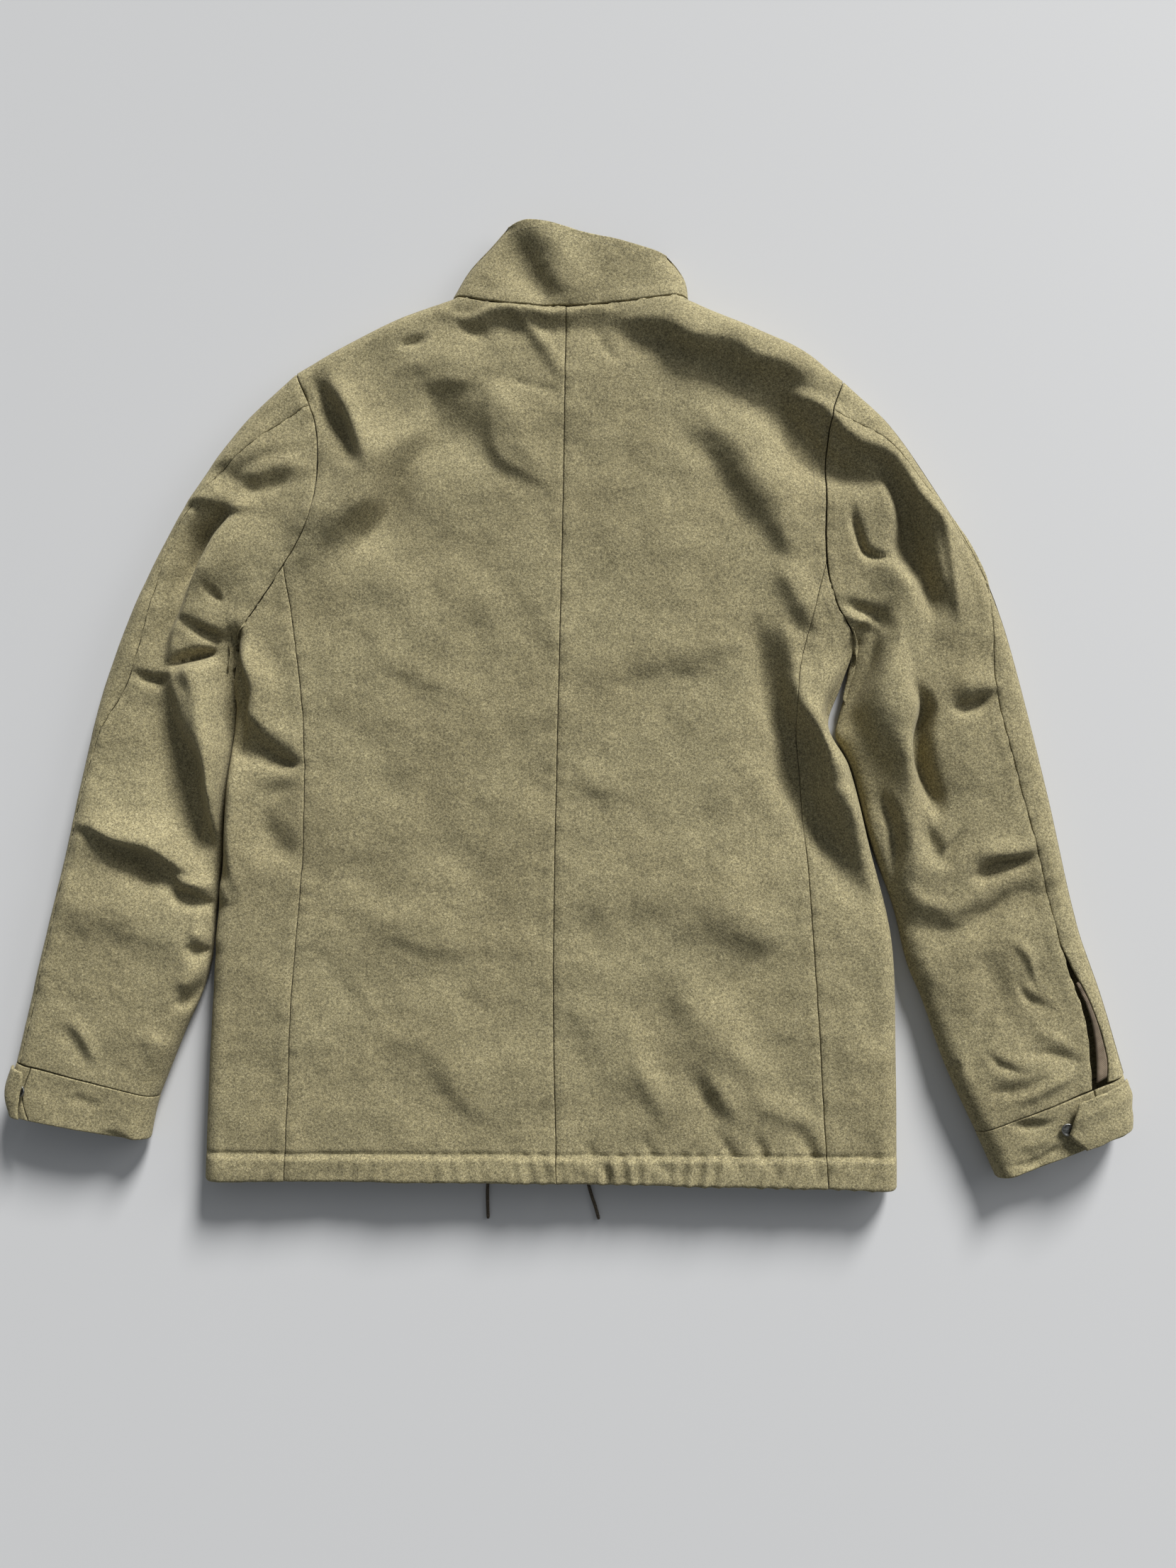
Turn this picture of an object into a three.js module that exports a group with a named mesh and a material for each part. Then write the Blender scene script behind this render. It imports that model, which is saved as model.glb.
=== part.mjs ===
// Wool military jacket, laid face down: its back is up, its sleeves lie at its sides and
// its underside is flat. Millimetres, +X across, +Y towards the collar, +Z up. The origin
// is under the middle of the jacket, on the surface that it lies on.
import * as THREE from "three";

// Driving sizes
const WALL = 2.5; // melton wool
const COLLAR_WALL = 3; // two layers, turned and stitched
const HEM_WALL = 6; // the hem tunnel's two layers round its cord
const HEM_DEPTH = 21;
const SEAM_GAP = 0.3; // space between neighbouring pieces
const FOLD_BAND = 14; // how far the rounding of a folded edge reaches in
const BODY_LOFT = 24; // top of the back above the surface below
const SLEEVE_LOFT = 27;
const FRONT_OVERLAP = 40; // left front over right front
const FACING_SINK = -0.6; // below the wool's outer surface
const TAB_RISE = 4; // what the button under its end lifts each cuff tab
const MESH_FOLD = 10; // narrowest fold that the solids' mesh can carry
const CORD_RADIUS = 1.3;
const BUTTON_RADIUS = 5;

const WOOL = 0x7c7558;
const WOOL_DARK = 0x6b644a;
const FACING_BROWN = 0x7a6a55;
const CORD_BROWN = 0x3c3122;
const GUNMETAL = 0x4a4a46;

// Outlines, each a smooth curve through [x, y] knots. "left" and "right" are as seen.
const CENTRE_BACK = [[-6, -383], [-9, -235], [-7, -65], [-3, 120], [0, 316]];
const HEM_END = { left: [-221, -383], right: [207, -386] };
const HEM_CORNER = { left: [-287, -384], right: [263, -388] };
const NECK_POINT = { left: [-93, 327], right: [99, 325] };
const SHOULDER_TIP = { left: [-220, 266], right: [224, 258] };
const CROTCH = { left: [-264, 50], right: [234, 45] };
const SIDE_TOP = { left: [-227, 106], right: [208, 108] };
const SIDE_SEAM = {
  left: [HEM_END.left, [-219, -303], [-216, -227], [-209, -120], [-209, -30], [-217, 47], SIDE_TOP.left],
  right: [HEM_END.right, [201, -270], [196, -190], [188, -65], [184, 6], [200, 78], SIDE_TOP.right],
};
const BODY_EDGE = {
  left: [HEM_CORNER.left, [-285, -300], [-280, -179], [-275, -111], [-270, -42], [-267, -8], [-269, 16],
    CROTCH.left],
  right: [HEM_CORNER.right, [263, -290], [260, -190], [241, -110], [227, -53], [211, -22], [221, 10],
    CROTCH.right],
};
const ARMHOLE = {
  left: [CROTCH.left, SIDE_TOP.left, [-205, 145], [-200, 190], [-204, 228], SHOULDER_TIP.left],
  right: [CROTCH.right, [216, 75], SIDE_TOP.right, [209, 176], [212, 225], SHOULDER_TIP.right],
};
const SHOULDER = {
  left: [NECK_POINT.left, [-135, 312], [-180, 290], SHOULDER_TIP.left],
  right: [NECK_POINT.right, [150, 302], [190, 284], SHOULDER_TIP.right],
};
const BACK_NECK = {
  left: [[0, 316], [-50, 319], NECK_POINT.left],
  right: [[0, 316], [48, 320], NECK_POINT.right],
};
const FRONT_NECK_LOW = 254;
const SLEEVE_OUTER = {
  left: [SHOULDER_TIP.left, [-263, 225], [-305, 166], [-336, 108], [-360, 50], [-378, -7], [-402, -122],
    [-415, -180], [-439, -290]],
  right: [SHOULDER_TIP.right, [260, 223], [299, 165], [332, 107], [353, 50], [381, -64], [405, -177],
    [423, -233], [441, -296]],
};
const SLEEVE_INNER = {
  left: [[-264.6, 50], [-269.8, 16], [-267.8, -8], [-271, -42], [-276.4, -111], [-282.5, -179],
    [-285, -208], [-292, -236], [-304, -264], [-313, -287], [-325, -318]],
  right: [[234.6, 45], [233, 15], [225, -13], [219.5, -29], [224.5, -44], [231, -63], [242.5, -110], [262, -165], [273, -211],
    [284, -239], [301, -289], [325, -342]],
};
// Hindarm seam from below the shoulder tip, where it leaves the armhole
const HINDARM = {
  left: [[-261, 197], [-310, 143], [-330, 85], [-350, 14], [-374, -32], [-394, -110], [-408, -180],
    [-432, -291]],
  right: [[255, 206], [313, 132], [336, 90], [340, 10], [367, -103], [387, -190], [393, -210],
    [407, -255], [412, -306.5]],
};
const SLIT_STITCH = [[255, 206], [313, 132], [336, 90], [340, 10], [367, -103], [387, -190],
  [395, -208], [410, -238], [424, -280], [424, -301]];
const CUFF_OUTER = {
  left: [[-439, -290], [-446, -313], [-441, -333]],
  right: [[441, -296], [445.2, -316], [444.6, -339]],
};
const CUFF_INNER = {
  left: [[-325, -318], [-329, -335], [-332, -352]],
  right: [[325, -342], [333, -360], [341, -378]],
};
const CUFF_SLIT = { left: 17, right: 30 }; // from the outer edge to where the cuff's ends meet
const COLLAR_FOLD = {
  left: [NECK_POINT.left, [-80, 349], [-62, 369], [-49, 384]],
  right: [NECK_POINT.right, [97, 339], [90, 351], [82, 360]],
};
const COLLAR_TOP = [[-49, 384], [-30, 388], [14, 378], [51, 369], [82, 360]];
const COLLAR_FRONT_TOP = 318;
const TAB_REACH = { left: [14, 18, 18, 14], right: [46, 53, 60, 45] }; // from the outer edge, row by row
const TAB_BUTTON = { left: [-431, -312], right: [392, -337] };
const CORD_REST = CORD_RADIUS + 0.05;
const CORD_ROUTE = {
  left: [[-62, -383.05, 2.6], [-62, -387, 2.6], [-62.4, -396, 1.7], [-62.2, -406, CORD_REST],
    [-61.8, -417, CORD_REST]],
  right: [[18.2, -383.05, 2.6], [18.4, -387, 2.6], [21, -397, 1.7], [24.4, -407, CORD_REST],
    [27.2, -417, CORD_REST]],
};

// Largest folds: from x1, y1 to x2, y2, its spine bowed sideways, raised (or sunk) by height,
// and how wide it is to the left and to the right of that direction.
const FOLD_COLUMNS = ["x1", "y1", "x2", "y2", "bow", "height", "left", "right"];
const FOLDS = [
  [45, 318, 208, 270, 0, 11, 20, 14],
  [65, 283, 192, 222, 8, -9, 13, 22],
  [150, 255, 258, 165, -14, -11, 17, 18],
  [85, 262, 192, 90, 17, 9, 22, 14],
  [90, 225, 165, 100, 8, -4, 16, 20],
  [170, 108, 202, 55, 0, 6, 14, 10],
  [200, 30, 248, -155, -12, 8, 15, 16],
  [156, 62, 246, -165, -17, -10, 20, 15],
  [25, 24, 152, 44, 0, 4, 20, 10],
  [95, -20, 165, -100, 0, 5, 45, 40],
  [5, -146, 95, -152, 0, 3.5, 30, 15],
  [90, -172, 170, -188, 0, 3, 30, 14],
  [95, -228, 168, -335, 0, 5, 22, 13],
  [8, -235, 112, -352, 0, 4, 18, 13],
  [-192, 272, -150, 182, 0, 7, 20, 10],
  [-205, 265, -168, 188, 0, -7, 10, 10],
  [-135, 268, -55, 268, 0, 4, 14, 12],
  [-64, 252, -12, 182, 0, 6, 34, 13],
  [-112, 262, -85, 185, 0, -6, 26, 26],
  [-132, 214, -216, 108, 0, 6, 13, 26],
  [-118, 192, -185, 98, 0, -3, 18, 18],
  [-292, 185, -212, 208, 0, 5, 16, 10],
  [-260, 162, -308, 86, 0, 9, 28, 10],
  [-272, 155, -316, 80, 0, -9, 12, 14],
  [-308, 64, -262, 40, 0, -8, 10, 10],
  [-324, 28, -268, 38, 0, -9, 10, 10],
  [-271, 54, -251, -26, 0, -14, 10, 10],
  [-306, 32, -264, -122, 0, 12, 14, 14],
  [-330, 15, -279, -148, 0, -9, 12, 25],
  [-256, -16, -214, -58, 0, -9, 10, 10],
  [-396, -94, -296, -132, 0, 10, 26, 10],
  [-388, -114, -290, -152, 0, -8, 12, 18],
  [-405, -160, -325, -186, 0, 4, 20, 14],
  [250, 175, 266, 115, 0, 5, 12, 10],
  [274, 176, 320, 56, 0, -13, 12, 18],
  [292, 166, 328, 76, 0, 7, 14, 10],
  [266, 128, 278, 18, 0, 7, 14, 14],
  [250, 66, 212, -30, 0, -15, 13, 12],
  [258, 38, 280, -170, 0, 9, 12, 20],
  [280, 2, 298, -104, 0, -11, 10, 10],
  [260, -178, 398, -142, -8, -5, 10, 12],
  [304, 4, 344, 14, 0, 5, 12, 10],
  [332, -302, 398, -290, 0, 4, 14, 10],
  [-26, 394, 34, 322, 0, 4, 40, 14],
  [-52, 386, 2, 316, 0, -5, 12, 15],
].map((row) => Object.fromEntries(row.map((value, column) => [FOLD_COLUMNS[column], value])));

// Small vector helpers
const mix = (a, b, t) => a + (b - a) * t;
const mixPoint = (a, b, t) => [mix(a[0], b[0], t), mix(a[1], b[1], t)];
const span = (a, b) => Math.hypot(b[0] - a[0], b[1] - a[1]);
const smooth = (t) => {
  const c = Math.min(Math.max(t, 0), 1);
  return c * c * (3 - 2 * c);
};
const moved = (points, dx, dy) => points.map(([x, y]) => [x + dx, y + dy]);

// A smooth curve through knots, read by the share of its length
function smoothCurve(knots) {
  const slopes = knots.map((knot, i) => {
    const before = knots[Math.max(i - 1, 0)];
    const after = knots[Math.min(i + 1, knots.length - 1)];
    const reach = span(before, knot) + span(knot, after);
    return [(after[0] - before[0]) / reach, (after[1] - before[1]) / reach];
  });
  const STEPS = 8;
  const points = [knots[0]];
  for (let i = 0; i + 1 < knots.length; i++) {
    const length = span(knots[i], knots[i + 1]);
    for (let step = 1; step <= STEPS; step++) {
      const t = step / STEPS;
      const start = 2 * t ** 3 - 3 * t ** 2 + 1;
      const leave = (t ** 3 - 2 * t ** 2 + t) * length;
      const end = 3 * t ** 2 - 2 * t ** 3;
      const arrive = (t ** 3 - t ** 2) * length;
      points.push([0, 1].map((axis) => start * knots[i][axis] + leave * slopes[i][axis]
        + end * knots[i + 1][axis] + arrive * slopes[i + 1][axis]));
    }
  }
  return pathThrough(points);
}

function pathThrough(points) {
  const travelled = [0];
  for (let i = 1; i < points.length; i++) travelled.push(travelled[i - 1] + span(points[i - 1], points[i]));
  const length = travelled[travelled.length - 1];
  const at = (share) => {
    const target = Math.min(Math.max(share, 0), 1) * length;
    let i = 1;
    while (i < points.length - 1 && travelled[i] < target) i++;
    const step = travelled[i] - travelled[i - 1];
    return mixPoint(points[i - 1], points[i], step > 0 ? (target - travelled[i - 1]) / step : 0);
  };
  return { points, length, at };
}

const joined = (...curves) => pathThrough(curves.flatMap((c, i) => (i ? c.points.slice(1) : c.points)));
const reversed = (curve) => pathThrough([...curve.points].reverse());
const straight = (a, b) => pathThrough([a, b]);
const stretch = (curve, from, to) => {
  const PARTS = 60;
  return pathThrough(Array.from({ length: PARTS + 1 }, (_, i) => curve.at(mix(from, to, i / PARTS))));
};

// Folded edges, each with the height of its outermost line
const SIDES = ["left", "right"];
const cuffRise = (x) => 2 * smooth((Math.abs(x) - 330) / 80);
const tuckedTip = (side) => (x, y) => {
  const tucked = smooth((CROTCH[side][1] - y) / 50) * smooth((y + 260) / 70);
  return 10 - 4 * tucked + cuffRise(x);
};
const foldedEdges = SIDES.flatMap((side) => [
  { curve: smoothCurve(SHOULDER[side]), tip: () => 10 },
  { curve: smoothCurve(BODY_EDGE[side]), tip: () => 10 },
  { curve: smoothCurve(COLLAR_FOLD[side]), tip: () => 10 },
  { curve: smoothCurve(SLEEVE_OUTER[side]), tip: (x) => 10 + cuffRise(x) },
  { curve: smoothCurve(CUFF_OUTER[side]), tip: (x) => 10 + cuffRise(x) },
  { curve: smoothCurve(SLEEVE_INNER[side]), tip: tuckedTip(side) },
  { curve: smoothCurve(CUFF_INNER[side]), tip: (x) => 10 + cuffRise(x) },
]);

function nearestEdge(x, y, allowed) {
  let best = { distance: Infinity };
  for (const edge of foldedEdges) {
    if (allowed && !allowed.includes(edge)) continue;
    const { points } = edge.curve;
    for (let i = 1; i < points.length; i++) {
      const [ax, ay] = points[i - 1];
      const [bx, by] = [points[i][0] - ax, points[i][1] - ay];
      const t = Math.min(Math.max(((x - ax) * bx + (y - ay) * by) / (bx * bx + by * by), 0), 1);
      const away = [x - ax - t * bx, y - ay - t * by];
      const distance = Math.hypot(...away);
      if (distance < best.distance) best = { distance, away, edge };
    }
  }
  return best;
}

// Height of the top layer away from its folded edges
function foldHeight(fold, x, y) {
  const along = [fold.x2 - fold.x1, fold.y2 - fold.y1];
  const length = Math.hypot(...along);
  const offset = [x - fold.x1, y - fold.y1];
  const share = (offset[0] * along[0] + offset[1] * along[1]) / length ** 2;
  if (share <= 0 || share >= 1) return 0;
  const across = (along[0] * offset[1] - along[1] * offset[0]) / length - fold.bow * 4 * share * (1 - share);
  const width = Math.max(across > 0 ? fold.left : fold.right, MESH_FOLD);
  return fold.height * smooth(share / 0.25) * smooth((1 - share) / 0.25) * Math.exp(-((across / width) ** 2));
}

function loft(x, y, tip, distance) {
  const outward = smooth((Math.abs(x) - 230) / 150);
  const collar = smooth((y - 318) / 40) * smooth((150 - Math.abs(x)) / 40);
  let height = mix(BODY_LOFT, SLEEVE_LOFT, outward) - 3 * collar;
  for (const fold of FOLDS) height += foldHeight(fold, x, y);
  const open = mix(15, 12, smooth((Math.abs(x) - 215) / 45));
  const lowest = Math.max(open, mix(tip + 6.5, 0, smooth((distance - FOLD_BAND) / FOLD_BAND)));
  const softness = 3;
  if (height > lowest + softness) return height;
  return lowest + softness * Math.exp((height - lowest - softness) / softness);
}

// Outer surface of the top or bottom layer at x, y: its height and its outward normal.
// inside points from a folded edge into the piece.
function skin(layer, x, y, inside, lift = 0) {
  let near = nearestEdge(x, y);
  const tip = near.edge.tip(x, y);
  const ratio = Math.min(near.distance / FOLD_BAND, 1);
  const flatness = Math.sqrt(1 - (1 - ratio) ** 2);
  const lean = 1 - ratio;
  let away = near.away.map((c) => c / Math.max(near.distance, 1e-9));
  if (near.distance < 0.6) away = inside;
  if (layer === "tip") return { z: tip + lift, normal: [-away[0], -away[1], 0] };
  if (layer === "bottom") {
    const slope = tip * lean / FOLD_BAND;
    const normal = new THREE.Vector3(-slope * away[0], -slope * away[1], -flatness).normalize();
    return { z: (tip - SEAM_GAP / 2) * (1 - flatness) + lift, normal: normal.toArray() };
  }
  const height = loft(x, y, tip, near.distance);
  const STEP = 1;
  const slopeX = (loft(x + STEP, y, tip, near.distance) - loft(x - STEP, y, tip, near.distance)) / (2 * STEP);
  const slopeY = (loft(x, y + STEP, tip, near.distance) - loft(x, y - STEP, tip, near.distance)) / (2 * STEP);
  const drop = (height - tip) * lean / FOLD_BAND;
  const normal = new THREE.Vector3(
    -flatness * flatness * slopeX - drop * away[0],
    -flatness * flatness * slopeY - drop * away[1],
    flatness,
  ).normalize();
  return { z: tip + SEAM_GAP / 2 + (height - tip) * flatness + lift, normal: normal.toArray() };
}

// A patch of the plan between four curves: first and last across, near and far along. Where
// first meets far at a hollow corner, fan (+1 or -1) straightens the rows quickly and swings
// them out of that corner.
const FAN_DECAY = 14;
const FAN_REACH = 6;
function planPatch(first, last, near, far, fan = 0) {
  const at = (u, v) => {
    const firstShare = fan ? (1 - v) ** FAN_DECAY : 1 - v;
    const lastShare = v;
    const swing = fan * FAN_REACH * (v * FAN_DECAY) * Math.exp(1 - v * FAN_DECAY)
      * smooth((u - 0.5) / 0.35) * smooth((1 - u) / 0.12);
    return [0, 1].map((axis) => {
      const firstBend = first.at(u)[axis] - mix(first.at(0)[axis], first.at(1)[axis], u);
      const lastBend = last.at(u)[axis] - mix(last.at(0)[axis], last.at(1)[axis], u);
      const straightRow = mix(near.at(v)[axis], far.at(v)[axis], u);
      return straightRow + firstShare * firstBend + lastShare * lastBend + (axis === 0 ? swing : 0);
    });
  };
  const chord = (v) => span(near.at(v), far.at(v));
  const width = (v) => chord(v) + (1 - v) * (first.length - chord(0)) + v * (last.length - chord(1));
  return { at, width };
}

// Stations are distances from a folded edge. The first few keep their size on each row and the
// rest share what is left of it.
function spread(distance, full, width) {
  if (distance <= FOLD_BAND) return Math.min(distance, width * distance / full + distance * 0.5);
  return FOLD_BAND + (distance - FOLD_BAND) * (width - FOLD_BAND) / (full - FOLD_BAND);
}

const EDGE_STATIONS = [1, 4.1, 8.5, FOLD_BAND];
const EDGE_STATIONS_BELOW = [4.1, FOLD_BAND];
const even = (from, to, parts) => Array.from({ length: parts }, (_, i) => mix(from, to, (i + 1) / parts));

// Closed wall from rows of stations, each a point with its normal
function wall(name, color, rows, thickness = () => WALL, metalness = 0) {
  const columns = rows[0].length;
  const positions = [];
  for (const sheet of ["outer", "inner"]) {
    for (const row of rows) {
      for (const { x, y, z, normal } of row) {
        const depth = sheet === "inner" ? thickness(x, y, z) : 0;
        positions.push(x - normal[0] * depth, y - normal[1] * depth, z - normal[2] * depth);
      }
    }
  }
  const inner = rows.length * columns;
  const index = [];
  const quad = (a, b, c, d) => index.push(a, b, c, a, c, d);
  const id = (r, c) => r * columns + c;
  // Edge faces split along the diagonal from their upper outer corner, as their neighbour's do
  const rank = (i) => 3 * positions[3 * i + 1] + positions[3 * i];
  const edge = (a, b) => {
    if (rank(a) > rank(b)) quad(a, b, inner + b, inner + a);
    else quad(b, inner + b, inner + a, a);
  };
  for (let r = 0; r + 1 < rows.length; r++) {
    for (let c = 0; c + 1 < columns; c++) {
      quad(id(r, c), id(r, c + 1), id(r + 1, c + 1), id(r + 1, c));
      quad(inner + id(r, c), inner + id(r + 1, c), inner + id(r + 1, c + 1), inner + id(r, c + 1));
    }
    edge(id(r, 0), id(r + 1, 0));
    edge(id(r + 1, columns - 1), id(r, columns - 1));
  }
  for (let c = 0; c + 1 < columns; c++) {
    const last = rows.length - 1;
    edge(id(0, c + 1), id(0, c));
    edge(id(last, c), id(last, c + 1));
  }
  return solid(name, color, positions, index, metalness);
}

function signedVolume(positions, index) {
  let sum = 0;
  const corner = (i) => new THREE.Vector3().fromArray(positions, 3 * i);
  for (let i = 0; i < index.length; i += 3) {
    sum += corner(index[i]).dot(corner(index[i + 1]).cross(corner(index[i + 2])));
  }
  return sum / 6;
}

function solid(name, color, positions, index, metalness = 0) {
  const outward = signedVolume(positions, index) < 0 ? [...index].reverse() : index;
  const geometry = new THREE.BufferGeometry();
  geometry.setAttribute("position", new THREE.Float32BufferAttribute(positions, 3));
  geometry.setIndex(outward);
  geometry.computeVertexNormals();
  const material = new THREE.MeshStandardMaterial({ color, roughness: metalness ? 0.45 : 0.95, metalness });
  const mesh = new THREE.Mesh(geometry, material);
  mesh.name = name;
  return mesh;
}

const hemWall = (x, y) => mix(WALL, HEM_WALL, smooth((HEM_DEPTH - 380 - y) / 5));
const frontHemWall = (x, y) => mix(WALL, HEM_WALL - 1, smooth((HEM_DEPTH - 380 - y) / 5));

const point = (plan, layer, inside, lift = 0) => {
  const { z, normal } = skin(layer, plan[0], plan[1], inside, lift);
  return { x: plan[0], y: plan[1], z, normal };
};
const direction = (from, to) => {
  const length = span(from, to);
  return [(to[0] - from[0]) / length, (to[1] - from[1]) / length];
};

// Rows down the body: hem tunnel, side seam, then the armhole up to the shoulder
const armholes = Object.fromEntries(SIDES.map((side) => [side, smoothCurve(ARMHOLE[side])]));
const shareOf = (curve, target) => {
  const gaps = curve.points.map((p) => span(p, target));
  const nearest = gaps.indexOf(Math.min(...gaps));
  return pathThrough(curve.points.slice(0, nearest + 1)).length / curve.length;
};
const sideTopAt = Object.fromEntries(SIDES.map((side) =>
  [side, shareOf(armholes[side], SIDE_TOP[side]) * armholes[side].length]));
const HINDARM_BELOW_TIP = 31;
const armholeStations = (side) => [
  0, ...EDGE_STATIONS,
  ...even(FOLD_BAND, sideTopAt[side], 3),
  ...even(sideTopAt[side], armholes[side].length - HINDARM_BELOW_TIP, 6),
  ...[20, 14, 8.5, 4.1, 1, 0].map((down) => armholes[side].length - down),
];
const armholeStationsBelow = (side) => [
  0, ...EDGE_STATIONS_BELOW,
  ...even(FOLD_BAND, sideTopAt[side], 2),
  ...even(sideTopAt[side], armholes[side].length - HINDARM_BELOW_TIP, 3),
  ...[14, 4.1, 0].map((down) => armholes[side].length - down),
];
const SIDE_ROWS = 14;
const sideSeams = Object.fromEntries(SIDES.map((side) => [side, smoothCurve(SIDE_SEAM[side])]));
const sideStations = (side) => {
  const full = sideSeams[side].length;
  return [0, HEM_DEPTH - 3, HEM_DEPTH + 3, ...even(HEM_DEPTH + 3, full, SIDE_ROWS)];
};
const inset = (value, low, high) => Math.min(Math.max(value, low), 1 - high);

// Back and front panels share their outer boundary: side seam, then armhole
function outerBoundary(side) {
  const { length } = armholes[side];
  return joined(sideSeams[side], stretch(armholes[side], sideTopAt[side] / length, 1));
}
function boundaryShares(side, stations) {
  const beyond = stations.filter((s) => s > sideTopAt[side] + 1e-6).map((s) => s - sideTopAt[side]);
  const seam = sideSeams[side].length;
  const full = seam + armholes[side].length - sideTopAt[side];
  return [...sideStations(side), ...beyond.map((s) => s + seam)].map((s) => s / full);
}

function panel(name, side, layer, inner, neck, neckStations, shoulderPieces, stations, liftAt, color) {
  const shoulder = smoothCurve(SHOULDER[side]);
  const top = joined(neck, shoulder);
  const outer = outerBoundary(side);
  const hem = straight(inner.at(0), HEM_END[side]);
  const patch = planPatch(hem, top, inner, outer);
  const neckShare = neck.length / top.length;
  const shares = [...neckStations.map((s) => s / top.length), ...even(neckShare, 1, shoulderPieces)];
  const rows = boundaryShares(side, stations).map((v) => shares.map((share) => {
    const width = patch.width(v);
    const u = inset(share, SEAM_GAP / 2 / width, SEAM_GAP / 2 / width);
    const plan = patch.at(u, v);
    const inside = direction(plan, patch.at(u, v - 0.01));
    return point(plan, layer, inside, liftAt(...plan));
  }));
  return wall(name, color, rows, layer === "top" ? hemWall : frontHemWall);
}

function backPanel(side) {
  const neck = smoothCurve(BACK_NECK[side]);
  return panel(`back_${side}`, side, "top", smoothCurve(CENTRE_BACK), neck, [0, ...even(0, neck.length, 4)], 6,
    armholeStations(side), () => 0, WOOL);
}

// The left front lies lowest, and the right front rises over it at the middle
const overlapShare = (x) => smooth((FRONT_OVERLAP / 2 + 28 - x) / 24);
const overlapLift = (x, y) => (Math.max(frontHemWall(x, y) + 0.3, COLLAR_WALL) + SEAM_GAP) * overlapShare(x);
// Front neckline from the neck point down to the middle and level across the overlap
function frontNeck(side, shiftUp = 0) {
  const [x, y] = NECK_POINT[side];
  const beyond = -Math.sign(x) * FRONT_OVERLAP / 2;
  return smoothCurve([[x, y + shiftUp], [x * 0.72, 281 + shiftUp], [0, FRONT_NECK_LOW + shiftUp],
    [beyond, FRONT_NECK_LOW + shiftUp]]);
}
const frontNeckStations = (length, end) => {
  const middle = length - FRONT_OVERLAP / 2;
  return [0, ...EDGE_STATIONS_BELOW, ...even(FOLD_BAND, middle, 4), end];
};
function frontPanel(side) {
  const middle = side === "left" ? FRONT_OVERLAP / 2 : -FRONT_OVERLAP / 2;
  const edge = straight([middle, -383], [middle, FRONT_NECK_LOW]);
  const lift = side === "left" ? () => 0 : overlapLift;
  const neck = reversed(frontNeck(side));
  const stations = frontNeckStations(neck.length, neck.length).map((s) => neck.length - s).reverse();
  return panel(`front_${side}`, side, "bottom", edge, neck, stations, 3,
    armholeStationsBelow(side), lift, WOOL_DARK);
}

// Side panel: from its back seam, round the folded edge, to its front seam straight below
function sidePanel(side) {
  const edge = smoothCurve(BODY_EDGE[side]);
  const hem = straight(HEM_END[side], HEM_CORNER[side]);
  const armhole = reversed(stretch(armholes[side], 0, sideTopAt[side] / armholes[side].length));
  const patch = planPatch(hem, armhole, sideSeams[side], edge);
  const full = sideTopAt[side];
  const above = armholeStations(side).filter((s) => s <= full + 1e-6).reverse();
  const below = armholeStationsBelow(side).filter((s) => s > 0 && s <= full + 1e-6);
  const seam = sideSeams[side].length;
  const rows = sideStations(side).map((along) => {
    const v = along / seam;
    const width = patch.width(v);
    const place = (station, layer) => {
      const u = inset(1 - spread(station, full, width) / width, SEAM_GAP / 2 / width, 0);
      return point(patch.at(u, v), layer, direction(patch.at(1, v), patch.at(0.5, v)));
    };
    return [
      ...above.map((s) => place(s, s === 0 ? "tip" : "top")),
      ...below.map((s) => place(s, "bottom")),
    ];
  });
  return wall(`side_${side}`, WOOL_DARK, rows, hemWall);
}

// Sleeves, each an under and a top piece between the hindarm seam above and the inseam below
const SLEEVE_ROWS = 18;
const outward = { left: -SEAM_GAP, right: SEAM_GAP + 0.15 };
function sleeveCurves(side) {
  const shift = (points) => moved(points, outward[side], 0);
  const armhole = pathThrough(shift(armholes[side].points));
  const seam = 1 - HINDARM_BELOW_TIP / armhole.length;
  const fromArmhole = (knots) => smoothCurve([armhole.at(seam), ...shift(knots)]);
  return {
    armhole,
    outer: smoothCurve(shift(SLEEVE_OUTER[side])),
    inner: smoothCurve(shift(SLEEVE_INNER[side])),
    hindarm: fromArmhole(HINDARM[side]),
    topEdge: fromArmhole(side === "right" ? SLIT_STITCH : HINDARM[side]),
    seam,
  };
}
const sleeveRows = Array.from({ length: SLEEVE_ROWS + 1 }, (_, i) => i / SLEEVE_ROWS);

function sleeveBelow(side) {
  const { armhole, outer, inner } = sleeveCurves(side);
  return planPatch(reversed(armhole), straight(outer.at(1), inner.at(1)), outer, inner, Math.sign(outward[side]));
}

function underSleeve(side) {
  const { armhole, inner, hindarm, seam } = sleeveCurves(side);
  const above = planPatch(reversed(stretch(armhole, 0, seam)), straight(hindarm.at(1), inner.at(1)),
    hindarm, inner, Math.sign(outward[side]));
  const under = sleeveBelow(side);
  const full = armhole.length * seam;
  const stationsAbove = armholeStations(side).filter((s) => s <= full + 1e-6).reverse();
  const stationsBelow = armholeStationsBelow(side).slice(1, 4);
  const rows = sleeveRows.map((v) => {
    const width = above.width(v);
    const widthBelow = under.width(v);
    const inside = direction(above.at(1, v), above.at(0.8, v));
    const top = stationsAbove.map((s) => {
      const u = inset(1 - spread(s, full, width) / width, SEAM_GAP / 2 / width, 0);
      return point(above.at(u, v), s === 0 ? "tip" : "top", inside);
    });
    const bottom = stationsBelow.map((s, i) => {
      const gap = i === stationsBelow.length - 1 ? SEAM_GAP / 2 : 0;
      const u = 1 - (spread(s, armhole.length, widthBelow) - gap) / widthBelow;
      return point(under.at(u, v), "bottom", inside);
    });
    return [...top, ...bottom];
  });
  return wall(`under_sleeve_${side}`, WOOL, rows);
}

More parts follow.
